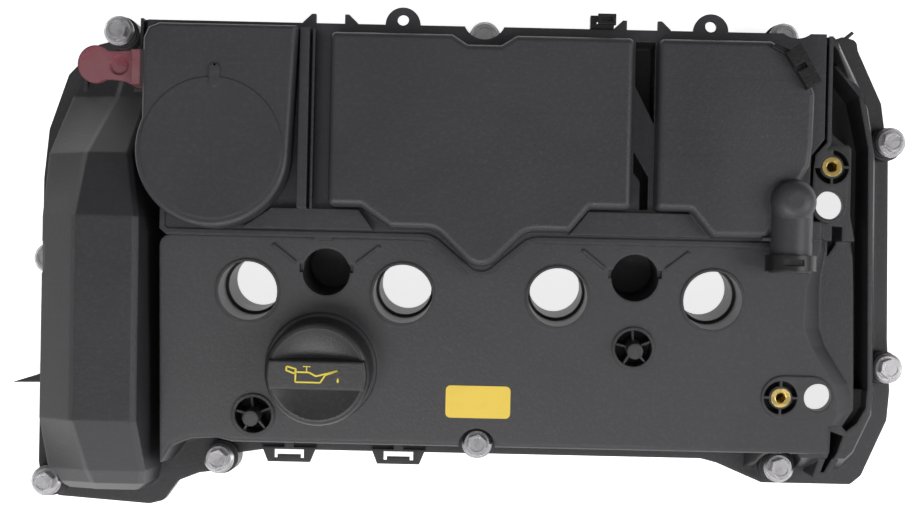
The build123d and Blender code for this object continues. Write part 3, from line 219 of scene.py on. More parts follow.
class ShaderGroups:
    """The effects that several finishes share, each built once."""

    def __init__(self) -> None:
        """Builds every group."""
        self.grain = self._grain()
        self.edges = self._edges()
        self.handling = self._handling()
        self.settled_dust = self._settled_dust()
        self.tube_bores = self._tube_bores()
        self.thread = self._thread()

    @staticmethod
    def _grain() -> bpy.types.NodeTree:
        """Builds the fine sparked texture of a moulding tool.

        Returns:
            A group with the inputs Size and Depth and the output Height.
        """
        b = GroupBuilder("Moulded Grain", {"Size": 900.0, "Depth": 1.0}, {"Height": "value"})
        where = b.node("ShaderNodeTexCoord")
        fine = b.node("ShaderNodeTexNoise")
        fine.inputs["Detail"].default_value = 3.0
        fine.inputs["Roughness"].default_value = 0.6
        cells = b.node("ShaderNodeTexVoronoi", feature="SMOOTH_F1")
        cells.inputs["Smoothness"].default_value = 0.6
        b.link(where.outputs["Object"], fine.inputs["Vector"])
        b.link(where.outputs["Object"], cells.inputs["Vector"])
        b.link(b.source.outputs["Size"], fine.inputs["Scale"])
        b.link(b.math("MULTIPLY", b.source.outputs["Size"], 0.7), cells.inputs["Scale"])
        both = b.math("ADD", b.math("MULTIPLY", cells.outputs["Distance"], 0.8), fine.outputs["Fac"])
        b.link(b.math("MULTIPLY", both, b.source.outputs["Depth"]), b.sink.inputs["Height"])
        return b.tree

    @staticmethod
    def _edges() -> bpy.types.NodeTree:
        """Builds softened edges: a rounded normal and a mask of the edges and inner corners, on which the
        finishes paint a highlight or a shade.

        Returns:
            A group with the input Radius and the outputs Normal and Mask.
        """
        b = GroupBuilder("Soft Edges", {"Radius": 0.0008}, {"Normal": "vector", "Mask": "value"})
        rounded = b.node("ShaderNodeBevel", samples=3)
        b.link(b.source.outputs["Radius"], rounded.inputs["Radius"])
        flat = b.node("ShaderNodeNewGeometry")
        turn = b.node("ShaderNodeVectorMath", operation="DOT_PRODUCT")
        b.link(rounded.outputs["Normal"], turn.inputs[0])
        b.link(flat.outputs["Normal"], turn.inputs[1])
        b.link(rounded.outputs["Normal"], b.sink.inputs["Normal"])
        # Mask of the edges and inner corners, where the finishes paint a highlight or a shade.
        b.link(b.spread(turn.outputs["Value"], 0.995, 0.80), b.sink.inputs["Mask"])
        return b.tree

    @staticmethod
    def _handling() -> bpy.types.NodeTree:
        """Builds broad smears and faint rub marks left by handling.

        Returns:
            A group with the inputs Size and Contrast and the outputs Smear and Rub.
        """
        b = GroupBuilder(
            "Handling Marks", {"Size": 14.0, "Contrast": 1.0}, {"Smear": "value", "Rub": "value"}
        )
        where = b.node("ShaderNodeTexCoord")
        broad = b.node("ShaderNodeTexNoise")
        broad.inputs["Detail"].default_value = 4.0
        broad.inputs["Distortion"].default_value = 0.7
        b.link(where.outputs["Object"], broad.inputs["Vector"])
        b.link(b.source.outputs["Size"], broad.inputs["Scale"])
        centred = b.math("SUBTRACT", broad.outputs["Fac"], 0.5)
        b.link(b.math("MULTIPLY", centred, b.source.outputs["Contrast"]), b.sink.inputs["Smear"])
        stretch = b.node("ShaderNodeMapping")
        stretch.inputs["Rotation"].default_value = (0.3, 0.2, 0.9)
        stretch.inputs["Scale"].default_value = (9.0, 260.0, 60.0)
        b.link(where.outputs["Object"], stretch.inputs["Vector"])
        thin = b.node("ShaderNodeTexNoise")
        thin.inputs["Scale"].default_value = 1.0
        thin.inputs["Detail"].default_value = 2.0
        b.link(stretch.outputs["Vector"], thin.inputs["Vector"])
        b.link(b.spread(thin.outputs["Fac"], 0.62, 0.74), b.sink.inputs["Rub"])
        return b.tree

    @staticmethod
    def _settled_dust() -> bpy.types.NodeTree:
        """Builds the thin dust that lies on upward faces.

        Returns:
            A group with the input Amount and the output Mask.
        """
        b = GroupBuilder("Settled Dust", {"Amount": 0.1}, {"Mask": "value"})
        where = b.node("ShaderNodeTexCoord")
        specks = b.node("ShaderNodeTexNoise")
        specks.inputs["Scale"].default_value = 420.0
        specks.inputs["Detail"].default_value = 5.0
        specks.inputs["Roughness"].default_value = 0.75
        b.link(where.outputs["Object"], specks.inputs["Vector"])
        facing = b.node("ShaderNodeNewGeometry")
        axes = b.node("ShaderNodeSeparateXYZ")
        b.link(facing.outputs["Normal"], axes.inputs["Vector"])
        upward = b.math("POWER", b.math("MAXIMUM", axes.outputs["Z"], 0.0), 3.0)
        lying = b.math("MULTIPLY", b.spread(specks.outputs["Fac"], 0.50, 0.78), upward)
        b.link(b.math("MULTIPLY", lying, b.source.outputs["Amount"]), b.sink.inputs["Mask"])
        return b.tree

    @staticmethod
    def _tube_bores() -> bpy.types.NodeTree:
        """Builds a mask of the plug tubes' bore walls, counted along the sloping deck, where the shell paints
        a lighter colour as painted reflection.

        Returns:
            A group with the outputs Mask and Ring.
        """
        b = GroupBuilder("Tube Bores", {}, {"Mask": "value", "Ring": "value"})
        where = b.node("ShaderNodeTexCoord")
        shift = b.node("ShaderNodeVectorMath", operation="SUBTRACT")
        shift.inputs[1].default_value = (ROW_X * MM, ROW_Y * MM, DECK_HEIGHT * MM)
        b.link(where.outputs["Object"], shift.inputs[0])
        turn = b.node("ShaderNodeMapping")
        turn.inputs["Rotation"].default_value = (-DECK_TILT, 0.0, 0.0)
        b.link(shift.outputs[0], turn.inputs["Vector"])
        axes = b.node("ShaderNodeSeparateXYZ")
        b.link(turn.outputs["Vector"], axes.inputs["Vector"])
        wrap = b.node("ShaderNodeMath", operation="WRAP")
        b.link(b.math("ADD", axes.outputs["X"], 1.5 * BORE_PITCH * MM), wrap.inputs[0])
        wrap.inputs[1].default_value = BORE_PITCH / 2 * MM
        wrap.inputs[2].default_value = -BORE_PITCH / 2 * MM
        across = b.math("POWER", b.size(wrap.outputs[0]), 2.0)
        square = b.math("ADD", across, b.math("MULTIPLY", axes.outputs["Y"], axes.outputs["Y"]))
        inside = b.math("LESS_THAN", square, (TUBE_R + BORE_MARGIN) ** 2 * MM * MM)
        along = b.math("LESS_THAN", b.size(axes.outputs["X"]), 2 * BORE_PITCH * MM)
        below = b.math("LESS_THAN", axes.outputs["Z"], -BORE_START * MM)
        b.link(b.math("MULTIPLY", b.math("MULTIPLY", inside, along), below), b.sink.inputs["Mask"])
        near = b.size(b.math("ADD", axes.outputs["Z"], RING_DEPTH * MM))
        b.link(b.math("LESS_THAN", near, RING_HALF * MM), b.sink.inputs["Ring"])
        return b.tree

    @staticmethod
    def _thread() -> bpy.types.NodeTree:
        """Builds the relief of a fine screw thread along the height.

        Returns:
            A group with the inputs Pitch and Top and the output Height.
        """
        b = GroupBuilder("Screw Thread", {"Pitch": THREAD_PITCH, "Top": 1.0}, {"Height": "value"})
        where = b.node("ShaderNodeTexCoord")
        axes = b.node("ShaderNodeSeparateXYZ")
        b.link(where.outputs["Object"], axes.inputs["Vector"])
        turns = b.math("DIVIDE", axes.outputs["Z"], b.source.outputs["Pitch"])
        flank = b.math("PINGPONG", turns, 0.5)
        below = b.math("LESS_THAN", axes.outputs["Z"], b.source.outputs["Top"])
        b.link(b.math("MULTIPLY", flank, below), b.sink.inputs["Height"])
        return b.tree


class MaterialBuilder(NodeWriter):
    """A material with its Principled shader and helpers to wire it."""

    def __init__(self, name: str) -> None:
        """Makes the material.

        Args:
            name: the material's name.
        """
        self.material = bpy.data.materials.new(name)
        self.material.use_nodes = True
        self.tree = self.material.node_tree
        self.shader = self.tree.nodes["Principled BSDF"]

    def group(self, tree: bpy.types.NodeTree, **values: float) -> bpy.types.Node:
        """Places a shared group with this material's own values.

        Args:
            tree: the group.
            **values: numbers for its inputs by name.

        Returns:
            The group's node.
        """
        made = self.node("ShaderNodeGroup", node_tree=tree)
        for key, value in values.items():
            made.inputs[key].default_value = value
        return made

    def mix(self, factor: bpy.types.NodeSocket, first: object, second: object) -> bpy.types.NodeSocket:
        """Mixes two colours.

        Args:
            factor: the mask.
            first: colour or socket where the mask is 0.
            second: colour or socket where the mask is 1.

        Returns:
            The mixed colour.
        """
        made = self.node("ShaderNodeMix", data_type="RGBA")
        self.link(factor, made.inputs["Factor"])
        for index, value in ((6, first), (7, second)):
            if isinstance(value, bpy.types.NodeSocket):
                self.link(value, made.inputs[index])
            else:
                made.inputs[index].default_value = (*value, 1.0)
        return made.outputs[2]

    def bump(
        self, height: bpy.types.NodeSocket, distance: float, normal: bpy.types.NodeSocket | None = None
    ) -> None:
        """Feeds the shader's normal from a height.

        Args:
            height: the height socket.
            distance: the relief's depth in metres.
            normal: a normal to start from.
        """
        made = self.node("ShaderNodeBump")
        made.inputs["Strength"].default_value = 1.0
        made.inputs["Distance"].default_value = distance
        self.link(height, made.inputs["Height"])
        if normal is not None:
            self.link(normal, made.inputs["Normal"])
        self.link(made.outputs["Normal"], self.shader.inputs["Normal"])


# Finishes


@dataclass(frozen=True)
class MouldedPlastic:
    """Glass-filled nylon with a sparked grain, soft edges with a painted highlight and a little dust.

    Attributes:
        name: the material's name.
        colour: base colour.
        roughness: mean roughness.
        shine: specular level.
        grain_size: scale of the grain.
        grain_depth: depth of the grain in metres.
        edge_radius: radius of the softened edges in metres.
        edge_highlight: how much lighter the edges are painted, a painted highlight.
        dust: amount of dust.
        painted_bore_reflection: lighter colour painted on the tube bore walls as painted reflection of the
            white floor, or None where the moulding has none.
    """

    name: str
    colour: Colour
    roughness: float = 0.48
    shine: float = 0.42
    grain_size: float = 900.0
    grain_depth: float = 0.00006
    edge_radius: float = 0.0010
    edge_highlight: float = 0.35
    dust: float = 0.10
    painted_bore_reflection: Colour | None = None

    def build(self, groups: ShaderGroups) -> bpy.types.Material:
        """Builds the material.

        Args:
            groups: the shared effects.

        Returns:
            The finished material.
        """
        m = MaterialBuilder(self.name)
        grain = m.group(groups.grain, Size=self.grain_size, Depth=1.0)
        edges = m.group(groups.edges, Radius=self.edge_radius)
        marks = m.group(groups.handling, Size=11.0, Contrast=1.0)
        dust = m.group(groups.settled_dust, Amount=self.dust)
        # Painted highlight: a lighter copy of the base colour, laid on the edges and inner corners.
        light = tuple(min(1.0, c * 2.6 + 0.02) for c in self.colour)
        deep = tuple(c * 0.72 for c in self.colour)
        pale = tuple(c * 1.28 for c in self.colour)
        body = m.mix(m.math("ADD", marks.outputs["Smear"], 0.5, clamp=True), deep, pale)
        wear_and_highlight = m.mix(m.math("MULTIPLY", edges.outputs["Mask"], self.edge_highlight, clamp=True), body, light)
        # Real dust on upward faces, laid over the painted edge highlight.
        dust_and_painted_light = m.mix(dust.outputs["Mask"], wear_and_highlight, DUST_COLOUR)
        rough = m.math("ADD", m.math("MULTIPLY", marks.outputs["Smear"], 0.16), self.roughness)
        rough = m.math("SUBTRACT", rough, m.math("MULTIPLY", marks.outputs["Rub"], 0.06), clamp=True)
        # Painted reflection: the tube bore walls, except the step ring, get a lighter colour; they are also a
        # little smoother.
        if self.painted_bore_reflection is not None:
            tube = m.group(groups.tube_bores)
            clear = m.math("MULTIPLY", tube.outputs["Mask"], m.math("SUBTRACT", 1.0, tube.outputs["Ring"]))
            dust_and_painted_light = m.mix(clear, dust_and_painted_light, self.painted_bore_reflection)
            rough = m.math("SUBTRACT", rough, m.math("MULTIPLY", clear, 0.04), clamp=True)
        m.link(dust_and_painted_light, m.shader.inputs["Base Color"])
        m.link(rough, m.shader.inputs["Roughness"])
        m.shader.inputs["Specular IOR Level"].default_value = self.shine
        m.bump(grain.outputs["Height"], self.grain_depth, edges.outputs["Normal"])
        return m.material


@dataclass(frozen=True)
class SealRubber:
    """Moulded black rubber with a faint bloom.

    Attributes:
        name: the material's name.
        colour: base colour.
        roughness: mean roughness.
    """

    name: str
    colour: Colour = (0.022, 0.022, 0.023)
    roughness: float = 0.68

    def build(self, groups: ShaderGroups) -> bpy.types.Material:
        """Builds the material.

        Args:
            groups: the shared effects.

        Returns:
            The finished material.
        """
        m = MaterialBuilder(self.name)
        grain = m.group(groups.grain, Size=1600.0, Depth=1.0)
        marks = m.group(groups.handling, Size=30.0, Contrast=1.2)
        bloom = m.math("ADD", marks.outputs["Smear"], 0.4, clamp=True)
        m.link(m.mix(bloom, self.colour, tuple(c * 2.4 for c in self.colour)), m.shader.inputs["Base Color"])
        rough = m.math("ADD", m.math("MULTIPLY", marks.outputs["Smear"], 0.2), self.roughness, clamp=True)
        m.link(rough, m.shader.inputs["Roughness"])
        m.bump(grain.outputs["Height"], 0.00004)
        return m.material


@dataclass(frozen=True)
class PlatedMetal:
    """Turned or forged metal with its plating, tool marks, stains and a painted highlight on its edges.

    Attributes:
        name: the material's name.
        colour: base colour.
        stain: colour of the darker patches.
        roughness: mean roughness.
        marks_depth: depth of the tool marks in metres.
        edge_radius: radius of the softened edges in metres.
        thread_top: height up to which the metal is threaded, in metres.
    """

    name: str
    colour: Colour
    stain: Colour
    roughness: float = 0.30
    marks_depth: float = 0.00002
    edge_radius: float = 0.0004
    thread_top: float = 0.0

    def build(self, groups: ShaderGroups) -> bpy.types.Material:
        """Builds the material.

        Args:
            groups: the shared effects.

        Returns:
            The finished material.
        """
        m = MaterialBuilder(self.name)
        edges = m.group(groups.edges, Radius=self.edge_radius)
        marks = m.group(groups.handling, Size=160.0, Contrast=1.8)
        grain = m.group(groups.grain, Size=1400.0, Depth=1.0)
        patch = m.math("ADD", marks.outputs["Smear"], 0.32, clamp=True)
        body = m.mix(patch, self.colour, self.stain)
        # Painted highlight: the edges and inner corners take a lighter copy of the colour.
        edge_highlight_colour = tuple(min(1.0, c * 1.15) for c in self.colour)
        m.link(m.mix(edges.outputs["Mask"], body, edge_highlight_colour), m.shader.inputs["Base Color"])
        m.shader.inputs["Metallic"].default_value = 1.0
        rough = m.math("ADD", m.math("MULTIPLY", marks.outputs["Smear"], 0.35), self.roughness)
        m.link(m.math("MAXIMUM", rough, 0.12), m.shader.inputs["Roughness"])
        relief = grain.outputs["Height"]
        if self.thread_top:
            thread = m.group(groups.thread, Pitch=THREAD_PITCH, Top=self.thread_top)
            relief = m.math("ADD", relief, m.math("MULTIPLY", thread.outputs["Height"], THREAD_RELIEF))
        m.bump(relief, self.marks_depth, edges.outputs["Normal"])
        return m.material


@dataclass(frozen=True)
class TintedPlastic:
    """Soft translucent plastic of the pull-out plug.

    Attributes:
        name: the material's name.
        colour: tint of the plastic.
        deep: tint where it is thick.
        clearness: share of light let through.
        density: refractive index.
        roughness: mean roughness.
        edge_radius: radius of the softened edges in metres.
    """

    name: str
    colour: Colour = (0.32, 0.18, 0.195)
    deep: Colour = (0.25, 0.04, 0.06)
    clearness: float = 0.30
    density: float = 1.47
    roughness: float = 0.30
    edge_radius: float = 0.0012

    def build(self, groups: ShaderGroups) -> bpy.types.Material:
        """Builds the material.

        Args:
            groups: the shared effects.

        Returns:
            The finished material.
        """
        m = MaterialBuilder(self.name)
        edges = m.group(groups.edges, Radius=self.edge_radius)
        marks = m.group(groups.handling, Size=40.0, Contrast=1.6)
        grain = m.group(groups.grain, Size=700.0, Depth=1.0)
        cloudy = m.mix(m.math("ADD", marks.outputs["Smear"], 0.45, clamp=True), self.deep, self.colour)
        # Painted shade: the edges and inner corners take the darker tint.
        m.link(m.mix(edges.outputs["Mask"], cloudy, self.deep), m.shader.inputs["Base Color"])
        m.shader.inputs["Transmission Weight"].default_value = self.clearness
        m.shader.inputs["IOR"].default_value = self.density
        rough = m.math("ADD", m.math("MULTIPLY", marks.outputs["Smear"], 0.2), self.roughness, clamp=True)
        m.link(rough, m.shader.inputs["Roughness"])
        m.bump(grain.outputs["Height"], 0.00003, edges.outputs["Normal"])
        return m.material


@dataclass(frozen=True)
class PrintedFilm:
    """Printed ink or sticker film: even colour, fine print dots and small scuffs.

    Attributes:
        name: the material's name.
        colour: ink colour.
        wear_and_highlight: colour where the print is thin.
        roughness: mean roughness.
    """

    name: str
    colour: Colour
    wear_and_highlight: Colour
    roughness: float = 0.42

    def build(self, groups: ShaderGroups) -> bpy.types.Material:
        """Builds the material.

        Args:
            groups: the shared effects.

        Returns:
            The finished material.
        """
        m = MaterialBuilder(self.name)
        marks = m.group(groups.handling, Size=60.0, Contrast=0.9)
        grain = m.group(groups.grain, Size=2400.0, Depth=1.0)
        rubbed = m.math("MULTIPLY", marks.outputs["Rub"], 0.5)
        thin = m.math("ADD", rubbed, marks.outputs["Smear"], clamp=True)
        m.link(m.mix(thin, self.colour, self.wear_and_highlight), m.shader.inputs["Base Color"])
        rough = m.math("ADD", m.math("MULTIPLY", marks.outputs["Smear"], 0.2), self.roughness, clamp=True)
        m.link(rough, m.shader.inputs["Roughness"])
        m.bump(grain.outputs["Height"], 0.00002)
        return m.material


class FinishShelf:
    """Every finish of the cover, built once."""

    def __init__(self) -> None:
        """Builds the shared groups and the finishes."""
        groups = ShaderGroups()
        self.shell = MouldedPlastic(
            "shell nylon",
            (0.031, 0.029, 0.032),
            roughness=0.45,
            edge_radius=0.0020,
            # The lighter bore colour is painted reflection of the floor.
            painted_bore_reflection=(0.075, 0.075, 0.076),
        ).build(groups)
        self.lid = MouldedPlastic("lid nylon", (0.034, 0.032, 0.036), roughness=0.44).build(groups)
        self.cap = MouldedPlastic("cap nylon", (0.026, 0.025, 0.027), roughness=0.40, dust=0.14).build(groups)
        self.clip = MouldedPlastic("clip nylon", (0.008, 0.008, 0.009), roughness=0.36).build(groups)
        self.rubber = SealRubber("seal rubber").build(groups)
        self.zinc = PlatedMetal(
            "zinc plate", (0.62, 0.61, 0.63), (0.30, 0.29, 0.30), roughness=0.32, thread_top=0.0262
        ).build(groups)
        self.steel = PlatedMetal("sleeve steel", (0.45, 0.45, 0.45), (0.25, 0.25, 0.25)).build(groups)
        self.brass = PlatedMetal(
            "insert brass", (0.83, 0.64, 0.24), (0.58, 0.38, 0.10), roughness=0.22, thread_top=0.1
        ).build(groups)
        self.red = TintedPlastic("plug plastic").build(groups)
        self.sticker = PrintedFilm("sticker film", (0.76, 0.54, 0.06), (0.62, 0.44, 0.06)).build(groups)
        self.ink = PrintedFilm("cap ink", (0.72, 0.58, 0.03), (0.42, 0.34, 0.04)).build(groups)


# Mesh helpers


class PlateMaker:
    """Makes thin solid plates from flat outlines in millimetres."""

    @staticmethod
    def solid(name: str, outlines: list[list[Point]], thickness: float, place: Matrix) -> bpy.types.Object:
        """Builds one object from closed outlines.

        Args:
            name: the object's name.
            outlines: closed outlines, each a plate of its own.
            thickness: plate thickness in millimetres.
            place: matrix from plate millimetres to metres.

        Returns:
            The new object.
        """
        bm = bmesh.new()
        for outline in outlines:
            low = [bm.verts.new((x, y, 0.0)) for x, y in outline]
            high = [bm.verts.new((x, y, thickness)) for x, y in outline]
            bm.faces.new(list(reversed(low)))
            bm.faces.new(high)
            for i in range(len(outline)):
                j = (i + 1) % len(outline)
                bm.faces.new((low[i], low[j], high[j], high[i]))
        bmesh.ops.recalc_face_normals(bm, faces=bm.faces)
        bm.transform(place)
        mesh = bpy.data.meshes.new(name)
        bm.to_mesh(mesh)
        bm.free()
        made = bpy.data.objects.new(name, mesh)
        bpy.context.scene.collection.objects.link(made)
        return made

    @staticmethod
    def rounded(width: float, height: float, radius: float, centre: Point, steps: int = 6) -> list[Point]:
        """Gives the outline of a rounded rectangle.

        Args:
            width: full width.
            height: full height.
            radius: corner radius.
            centre: middle of the rectangle.
            steps: points per corner.

        Returns:
            The outline's points, anticlockwise.
        """
        points = []
        for index, (sx, sy) in enumerate(((1, 1), (-1, 1), (-1, -1), (1, -1))):
            for step in range(steps + 1):
                angle = math.pi / 2 * (index + step / steps)
                x = centre[0] + sx * (width / 2 - radius) + radius * math.cos(angle)
                y = centre[1] + sy * (height / 2 - radius) + radius * math.sin(angle)
                points.append((x, y))
        return points

    @staticmethod
    def band(start: Point, end: Point, width: float) -> list[Point]:
        """Gives the outline of a straight stroke between two points.

        Args:
            start: middle of the stroke's start.
            end: middle of the stroke's end.
            width: the stroke's width.

        Returns:
            The outline's four corners.
        """
        along = Vector((end[0] - start[0], end[1] - start[1])).normalized()
        side = Vector((-along.y, along.x)) * width / 2
        return [
            (start[0] - side.x, start[1] - side.y),
            (end[0] - side.x, end[1] - side.y),
            (end[0] + side.x, end[1] + side.y),
            (start[0] + side.x, start[1] + side.y),
        ]


def dress(node: str, material: bpy.types.Material) -> None:
    """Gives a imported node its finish.

    Args:
        node: the node's name.
        material: the finish.
    """
    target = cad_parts[node]
    target.data.materials.clear()
    target.data.materials.append(material)
    log.info("dressed %s in %s", node, material.name)


def settle(piece: bpy.types.Object, material: bpy.types.Material, body: Body) -> None:
    """Gives a scene piece its finish and body.

    Args:
        piece: the object.
        material: its finish.
        body: the body that it rides on.
    """
    piece.data.materials.append(material)
    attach(piece, body.value)
    log.info("added %s on %s", piece.name, body.value)


# Sub-assemblies


@dataclass
class ShellMoulding:
    """The main moulding with its seals."""

    nodes: tuple[str, ...] = ("cover_shell", "oil_baffle")
    seals: tuple[str, ...] = ("cover_gasket", "plug_tube_seals")

    def build(self, shelf: FinishShelf) -> None:
        """Dresses the moulding and its seals.

        Args:
            shelf: the finishes.
        """
        for node in self.nodes:
            dress(node, shelf.shell)
        for node in self.seals:
            dress(node, shelf.rubber)


@dataclass
class DeckSticker:
    """Blank sticker on the deck.

    Attributes:
        centre: plan position.
        width: width in millimetres.
        height: height in millimetres.
        corner: corner radius.
        thickness: thickness of the film.
        gap: layer of glue under it.
    """

    centre: Point = (0.0, -58.1)
    width: float = 35.4
    height: float = 17.9
    corner: float = 2.6
    thickness: float = 0.16
    gap: float = 0.01

    def build(self, shelf: FinishShelf) -> None:
        """Builds the film.

        Args:
            shelf: the finishes.
        """
        spot = DeckPlane.along(self.centre)
        film = PlateMaker.solid(
            "deck_sticker",
            [PlateMaker.rounded(self.width, self.height, self.corner, spot)],
            self.thickness,
            DeckPlane(self.gap).matrix(),
        )
        settle(film, shelf.sticker, Body.COVER)


@dataclass
class SeparatorLid:
    """The welded lid with its clips."""

    nodes: tuple[str, ...] = ("separator_lid",)
    clips: tuple[str, ...] = ("cable_clip", "outlet_collar", "loom_clip")

    def build(self, shelf: FinishShelf) -> None:
        """Dresses the lid and clips.

        Args:
            shelf: the finishes.
        """
        for node in self.nodes:
            dress(node, shelf.lid)
        for node in self.clips:
            dress(node, shelf.clip)


@dataclass
class PressureRegulator:
    """Cap, diaphragm, plate and spring of the pressure regulator.

    Attributes:
        spring_foot: middle of the spring's lower end, in metres; not used.
        spring_length: free length of the spring in metres; not used.
        stroke: travel of the plate in metres; not used.
    """

    spring_foot: tuple[float, float, float] = (-0.12835, 0.0557, 0.066)
    spring_length: float = 0.0090
    stroke: float = 0.0031

    def build(self, shelf: FinishShelf) -> None:
        """Dresses the four pieces.

        Args:
            shelf: the finishes.
        """
        dress("regulator_cap", shelf.lid)
        dress("regulator_diaphragm", shelf.rubber)
        dress("regulator_plate", shelf.shell)
        dress("regulator_spring", shelf.steel)
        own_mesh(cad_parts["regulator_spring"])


@dataclass
class FillerCap:
    """The bayonet cap with the printed oil-can sign on its grip.

    Attributes:
        centre: plan position of the neck.
        grip_top: height of the grip's top above the deck.
        sign_shift: offset of the sign's middle from the neck.
        ink: thickness of the print.
        gap: height of the print above the grip.
        line: width of the can's lines.
        thin_line: width of the knob's lines.
    """

    centre: Point = (-85.7, -41.0)
    grip_top: float = 26.5
    sign_shift: Point = (0.0, 3.4)
    ink: float = 0.12
    gap: float = 0.02
    line: float = 0.85
    thin_line: float = 0.5

    def build(self, shelf: FinishShelf) -> None:
        """Dresses the cap and prints the sign.

        Args:
            shelf: the finishes.
        """
        dress("oil_filler_cap", shelf.cap)
        dress("filler_cap_seal", shelf.rubber)
        middle = DeckPlane.along(self.centre)
        place = DeckPlane(self.grip_top + self.gap).matrix() @ Matrix.Translation(
            Vector((middle[0] + self.sign_shift[0], middle[1] + self.sign_shift[1], 0.0))
        )
        sign = PlateMaker.solid("oil_can_sign", self._can_strokes(), self.ink, place)
        settle(sign, shelf.ink, Body.FILLER_CAP)

    def _can_strokes(self) -> list[list[Point]]:
        """Draws the oil can as outline strokes.

        Returns:
            Closed outlines in millimetres about the sign's middle.
        """
        can = [
            (-10.8, -1.6),
            (-3.7, -1.7),
            (-0.1, -3.7),
            (11.3, -0.6),
            (4.9, -2.9),
            (2.2, -7.1),
            (-11.0, -7.0),
        ]
        handle = [(-15.5, 1.4), (-10.5, -0.1), (-11.4, -2.4), (-15.9, -0.8)]
        knob = [((-6.9, 1.4), (-3.0, 1.4)), ((-5.0, 1.2), (-5.0, -1.3))]
        drop = [(11.5, -4.2), (10.9, -5.7), (11.0, -6.7), (11.5, -7.1), (12.0, -6.7), (12.1, -5.7)]
        strokes = []
        for outline in (can, handle):
            for start, end in zip(outline, outline[1:] + outline[:1]):
                strokes.append(PlateMaker.band(start, end, self.line))
        for start, end in knob:
            strokes.append(PlateMaker.band(start, end, self.thin_line))
        strokes.append(drop)
        return strokes


@dataclass
class HoldingBolts:
    """Captive bolts, sleeves and grommets."""

    def build(self, shelf: FinishShelf) -> None:
        """Dresses the three groups.

        Args:
            shelf: the finishes.
        """
        dress("cover_bolts", shelf.zinc)
        dress("bolt_sleeves", shelf.steel)
        dress("bolt_grommets", shelf.rubber)


@dataclass
class SensorInserts:
    """The two brass inserts."""

    def build(self, shelf: FinishShelf) -> None:
        """Dresses the inserts.

        Args:
            shelf: the finishes.
        """
        dress("rear_sensor_insert", shelf.brass)
        dress("front_sensor_insert", shelf.brass)


@dataclass
class PortPlug:
    """The red pull-out plug."""

    def build(self, shelf: FinishShelf) -> None:
        """Dresses the plug.

        Args:
            shelf: the finishes.
        """
        dress("shipping_plug", shelf.red)


@dataclass
class Softbox:
    """One area lamp.

    Attributes:
        name: the lamp's name.
        place: position in metres.
        aim: point that it faces.
        width: width in metres.
        height: height in metres.
        power: power in watts.
    """

    name: str
    place: tuple[float, float, float]
    aim: tuple[float, float, float]
    width: float
    height: float
    power: float

    def build(self) -> None:
        """Adds the lamp to the scene."""
        data = bpy.data.lights.new(self.name, "AREA")
        data.shape = "RECTANGLE"
        data.size, data.size_y = self.width, self.height
        data.energy = self.power
        lamp = bpy.data.objects.new(self.name, data)
        lamp.location = self.place
        facing = Vector(self.aim) - Vector(self.place)
        lamp.rotation_euler = facing.to_track_quat("-Z", "Y").to_euler()
        bpy.context.scene.collection.objects.link(lamp)


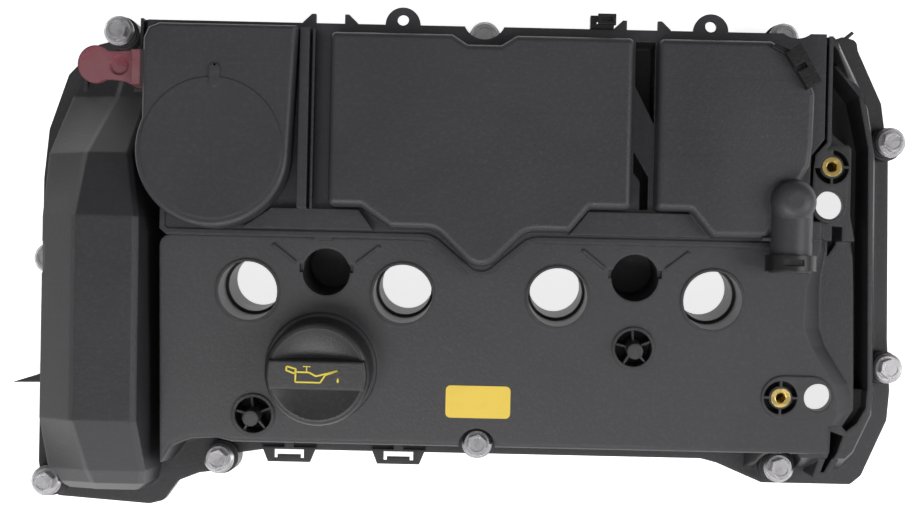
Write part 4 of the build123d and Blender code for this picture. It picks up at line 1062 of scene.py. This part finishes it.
@dataclass
class Studio:
    """Floor, world, lamps and camera.

    Attributes:
        eye: camera position in metres.
        lens: focal length in millimetres.
        roll: camera roll in degrees.
        shift: lens shift that frames the part as the photograph does.
        sensor: sensor width in millimetres.
        floor_half: half the floor's side in metres.
        floor_drop: depth of the floor below the part in metres.
        paper: brightness of the floor's paper.
        glow: light that camera, gloss and glass see in the floor.
        sky: strength of the sky in front and behind.
        lamps: the soft lamps.
    """

    eye: tuple[float, float, float] = (0.01797, -0.01962, 0.898)
    lens: float = 61.18
    roll: float = 1.27
    shift: Point = (-0.0340, 0.0477)
    sensor: float = 36.0
    floor_half: float = 4.0
    floor_drop: float = 0.0005
    paper: float = 0.86
    glow: float = 0.80
    sky: tuple[float, float] = (0.68, 0.05)
    lamps: list[Softbox] = field(
        default_factory=lambda: [
            Softbox("key box", (-0.25, -0.95, 1.30), (0.0, 0.0, 0.04), 1.2, 0.6, 12.0),
            Softbox("side box", (1.05, -0.15, 0.95), (0.0, 0.0, 0.04), 0.6, 0.9, 8.0),
            Softbox("rear box", (-0.55, 0.75, 1.20), (0.0, 0.0, 0.04), 0.8, 0.6, 1.2),
        ]
    )

    def build(self) -> None:
        """Builds the whole stage."""
        self._floor()
        self._world()
        for lamp in self.lamps:
            lamp.build()
        self._camera()
        bpy.context.scene.view_settings.view_transform = "Standard"

    def _floor(self) -> None:
        """Adds the pale floor, which camera and gloss see as white."""
        bm = bmesh.new()
        bmesh.ops.create_grid(bm, x_segments=1, y_segments=1, size=self.floor_half)
        mesh = bpy.data.meshes.new("studio_floor")
        bm.to_mesh(mesh)
        bm.free()
        floor = bpy.data.objects.new("studio_floor", mesh)
        floor.location = (0.0, 0.0, -self.floor_drop)
        bpy.context.scene.collection.objects.link(floor)
        m = MaterialBuilder("floor paper")
        m.shader.inputs["Base Color"].default_value = (self.paper, self.paper, self.paper, 1.0)
        m.shader.inputs["Roughness"].default_value = 0.9
        glow = m.node("ShaderNodeEmission")
        glow.inputs["Color"].default_value = WHITE
        m.link(self._seen(m, self.glow), glow.inputs["Strength"])
        both = m.node("ShaderNodeAddShader")
        m.link(m.shader.outputs[0], both.inputs[0])
        m.link(glow.outputs[0], both.inputs[1])
        m.link(both.outputs[0], m.tree.nodes["Material Output"].inputs["Surface"])
        floor.data.materials.append(m.material)

    @staticmethod
    def _seen(m: MaterialBuilder, strength: float) -> bpy.types.NodeSocket:
        """Gives a strength that only camera, glossy and transmitted rays see.

        Args:
            m: the material.
            strength: the strength for those rays.

        Returns:
            The socket with the strength.
        """
        path = m.node("ShaderNodeLightPath")
        rays = m.math("ADD", path.outputs["Is Camera Ray"], path.outputs["Is Glossy Ray"])
        rays = m.math("ADD", rays, path.outputs["Is Transmission Ray"], clamp=True)
        return m.math("MULTIPLY", rays, strength)

    def _world(self) -> None:
        """Sets a soft sky, brighter in front than behind and white where it is seen."""
        world = bpy.data.worlds.new("studio_air")
        world.use_nodes = True
        bpy.context.scene.world = world
        tree = world.node_tree
        back = tree.nodes["Background"]
        back.inputs["Color"].default_value = WHITE
        path = tree.nodes.new("ShaderNodeLightPath")
        rule = tree.nodes.new("ShaderNodeMapRange")
        rule.inputs["To Max"].default_value = 1.0
        way = tree.nodes.new("ShaderNodeTexCoord")
        axes = tree.nodes.new("ShaderNodeSeparateXYZ")
        slope = tree.nodes.new("ShaderNodeMapRange")
        slope.inputs["From Min"].default_value = -0.6
        slope.inputs["From Max"].default_value = 0.6
        slope.inputs["To Min"].default_value = self.sky[0]
        slope.inputs["To Max"].default_value = self.sky[1]
        tree.links.new(way.outputs["Generated"], axes.inputs["Vector"])
        tree.links.new(axes.outputs["Y"], slope.inputs["Value"])
        tree.links.new(slope.outputs["Result"], rule.inputs["To Min"])
        tree.links.new(path.outputs["Is Camera Ray"], rule.inputs["Value"])
        tree.links.new(rule.outputs["Result"], back.inputs["Strength"])

    def _camera(self) -> None:
        """Adds the camera of the photograph: straight down, a little rolled and shifted."""
        data = bpy.data.cameras.new("photo_camera")
        data.lens = self.lens
        data.sensor_width = self.sensor
        data.shift_x, data.shift_y = self.shift
        data.clip_start, data.clip_end = 0.01, 20.0
        camera = bpy.data.objects.new("photo_camera", data)
        camera.location = self.eye
        camera.rotation_euler = (0.0, 0.0, math.radians(self.roll))
        bpy.context.scene.collection.objects.link(camera)
        bpy.context.scene.camera = camera


def main() -> None:
    """Builds the dressed cover and its stage."""
    logging.basicConfig(level=logging.INFO, format="%(name)s: %(message)s")
    shelf = FinishShelf()
    for assembly in (
        ShellMoulding(),
        DeckSticker(),
        SeparatorLid(),
        PressureRegulator(),
        FillerCap(),
        HoldingBolts(),
        SensorInserts(),
        PortPlug(),
    ):
        assembly.build(shelf)
    Studio().build()


if __name__ == "__main__":
    main()
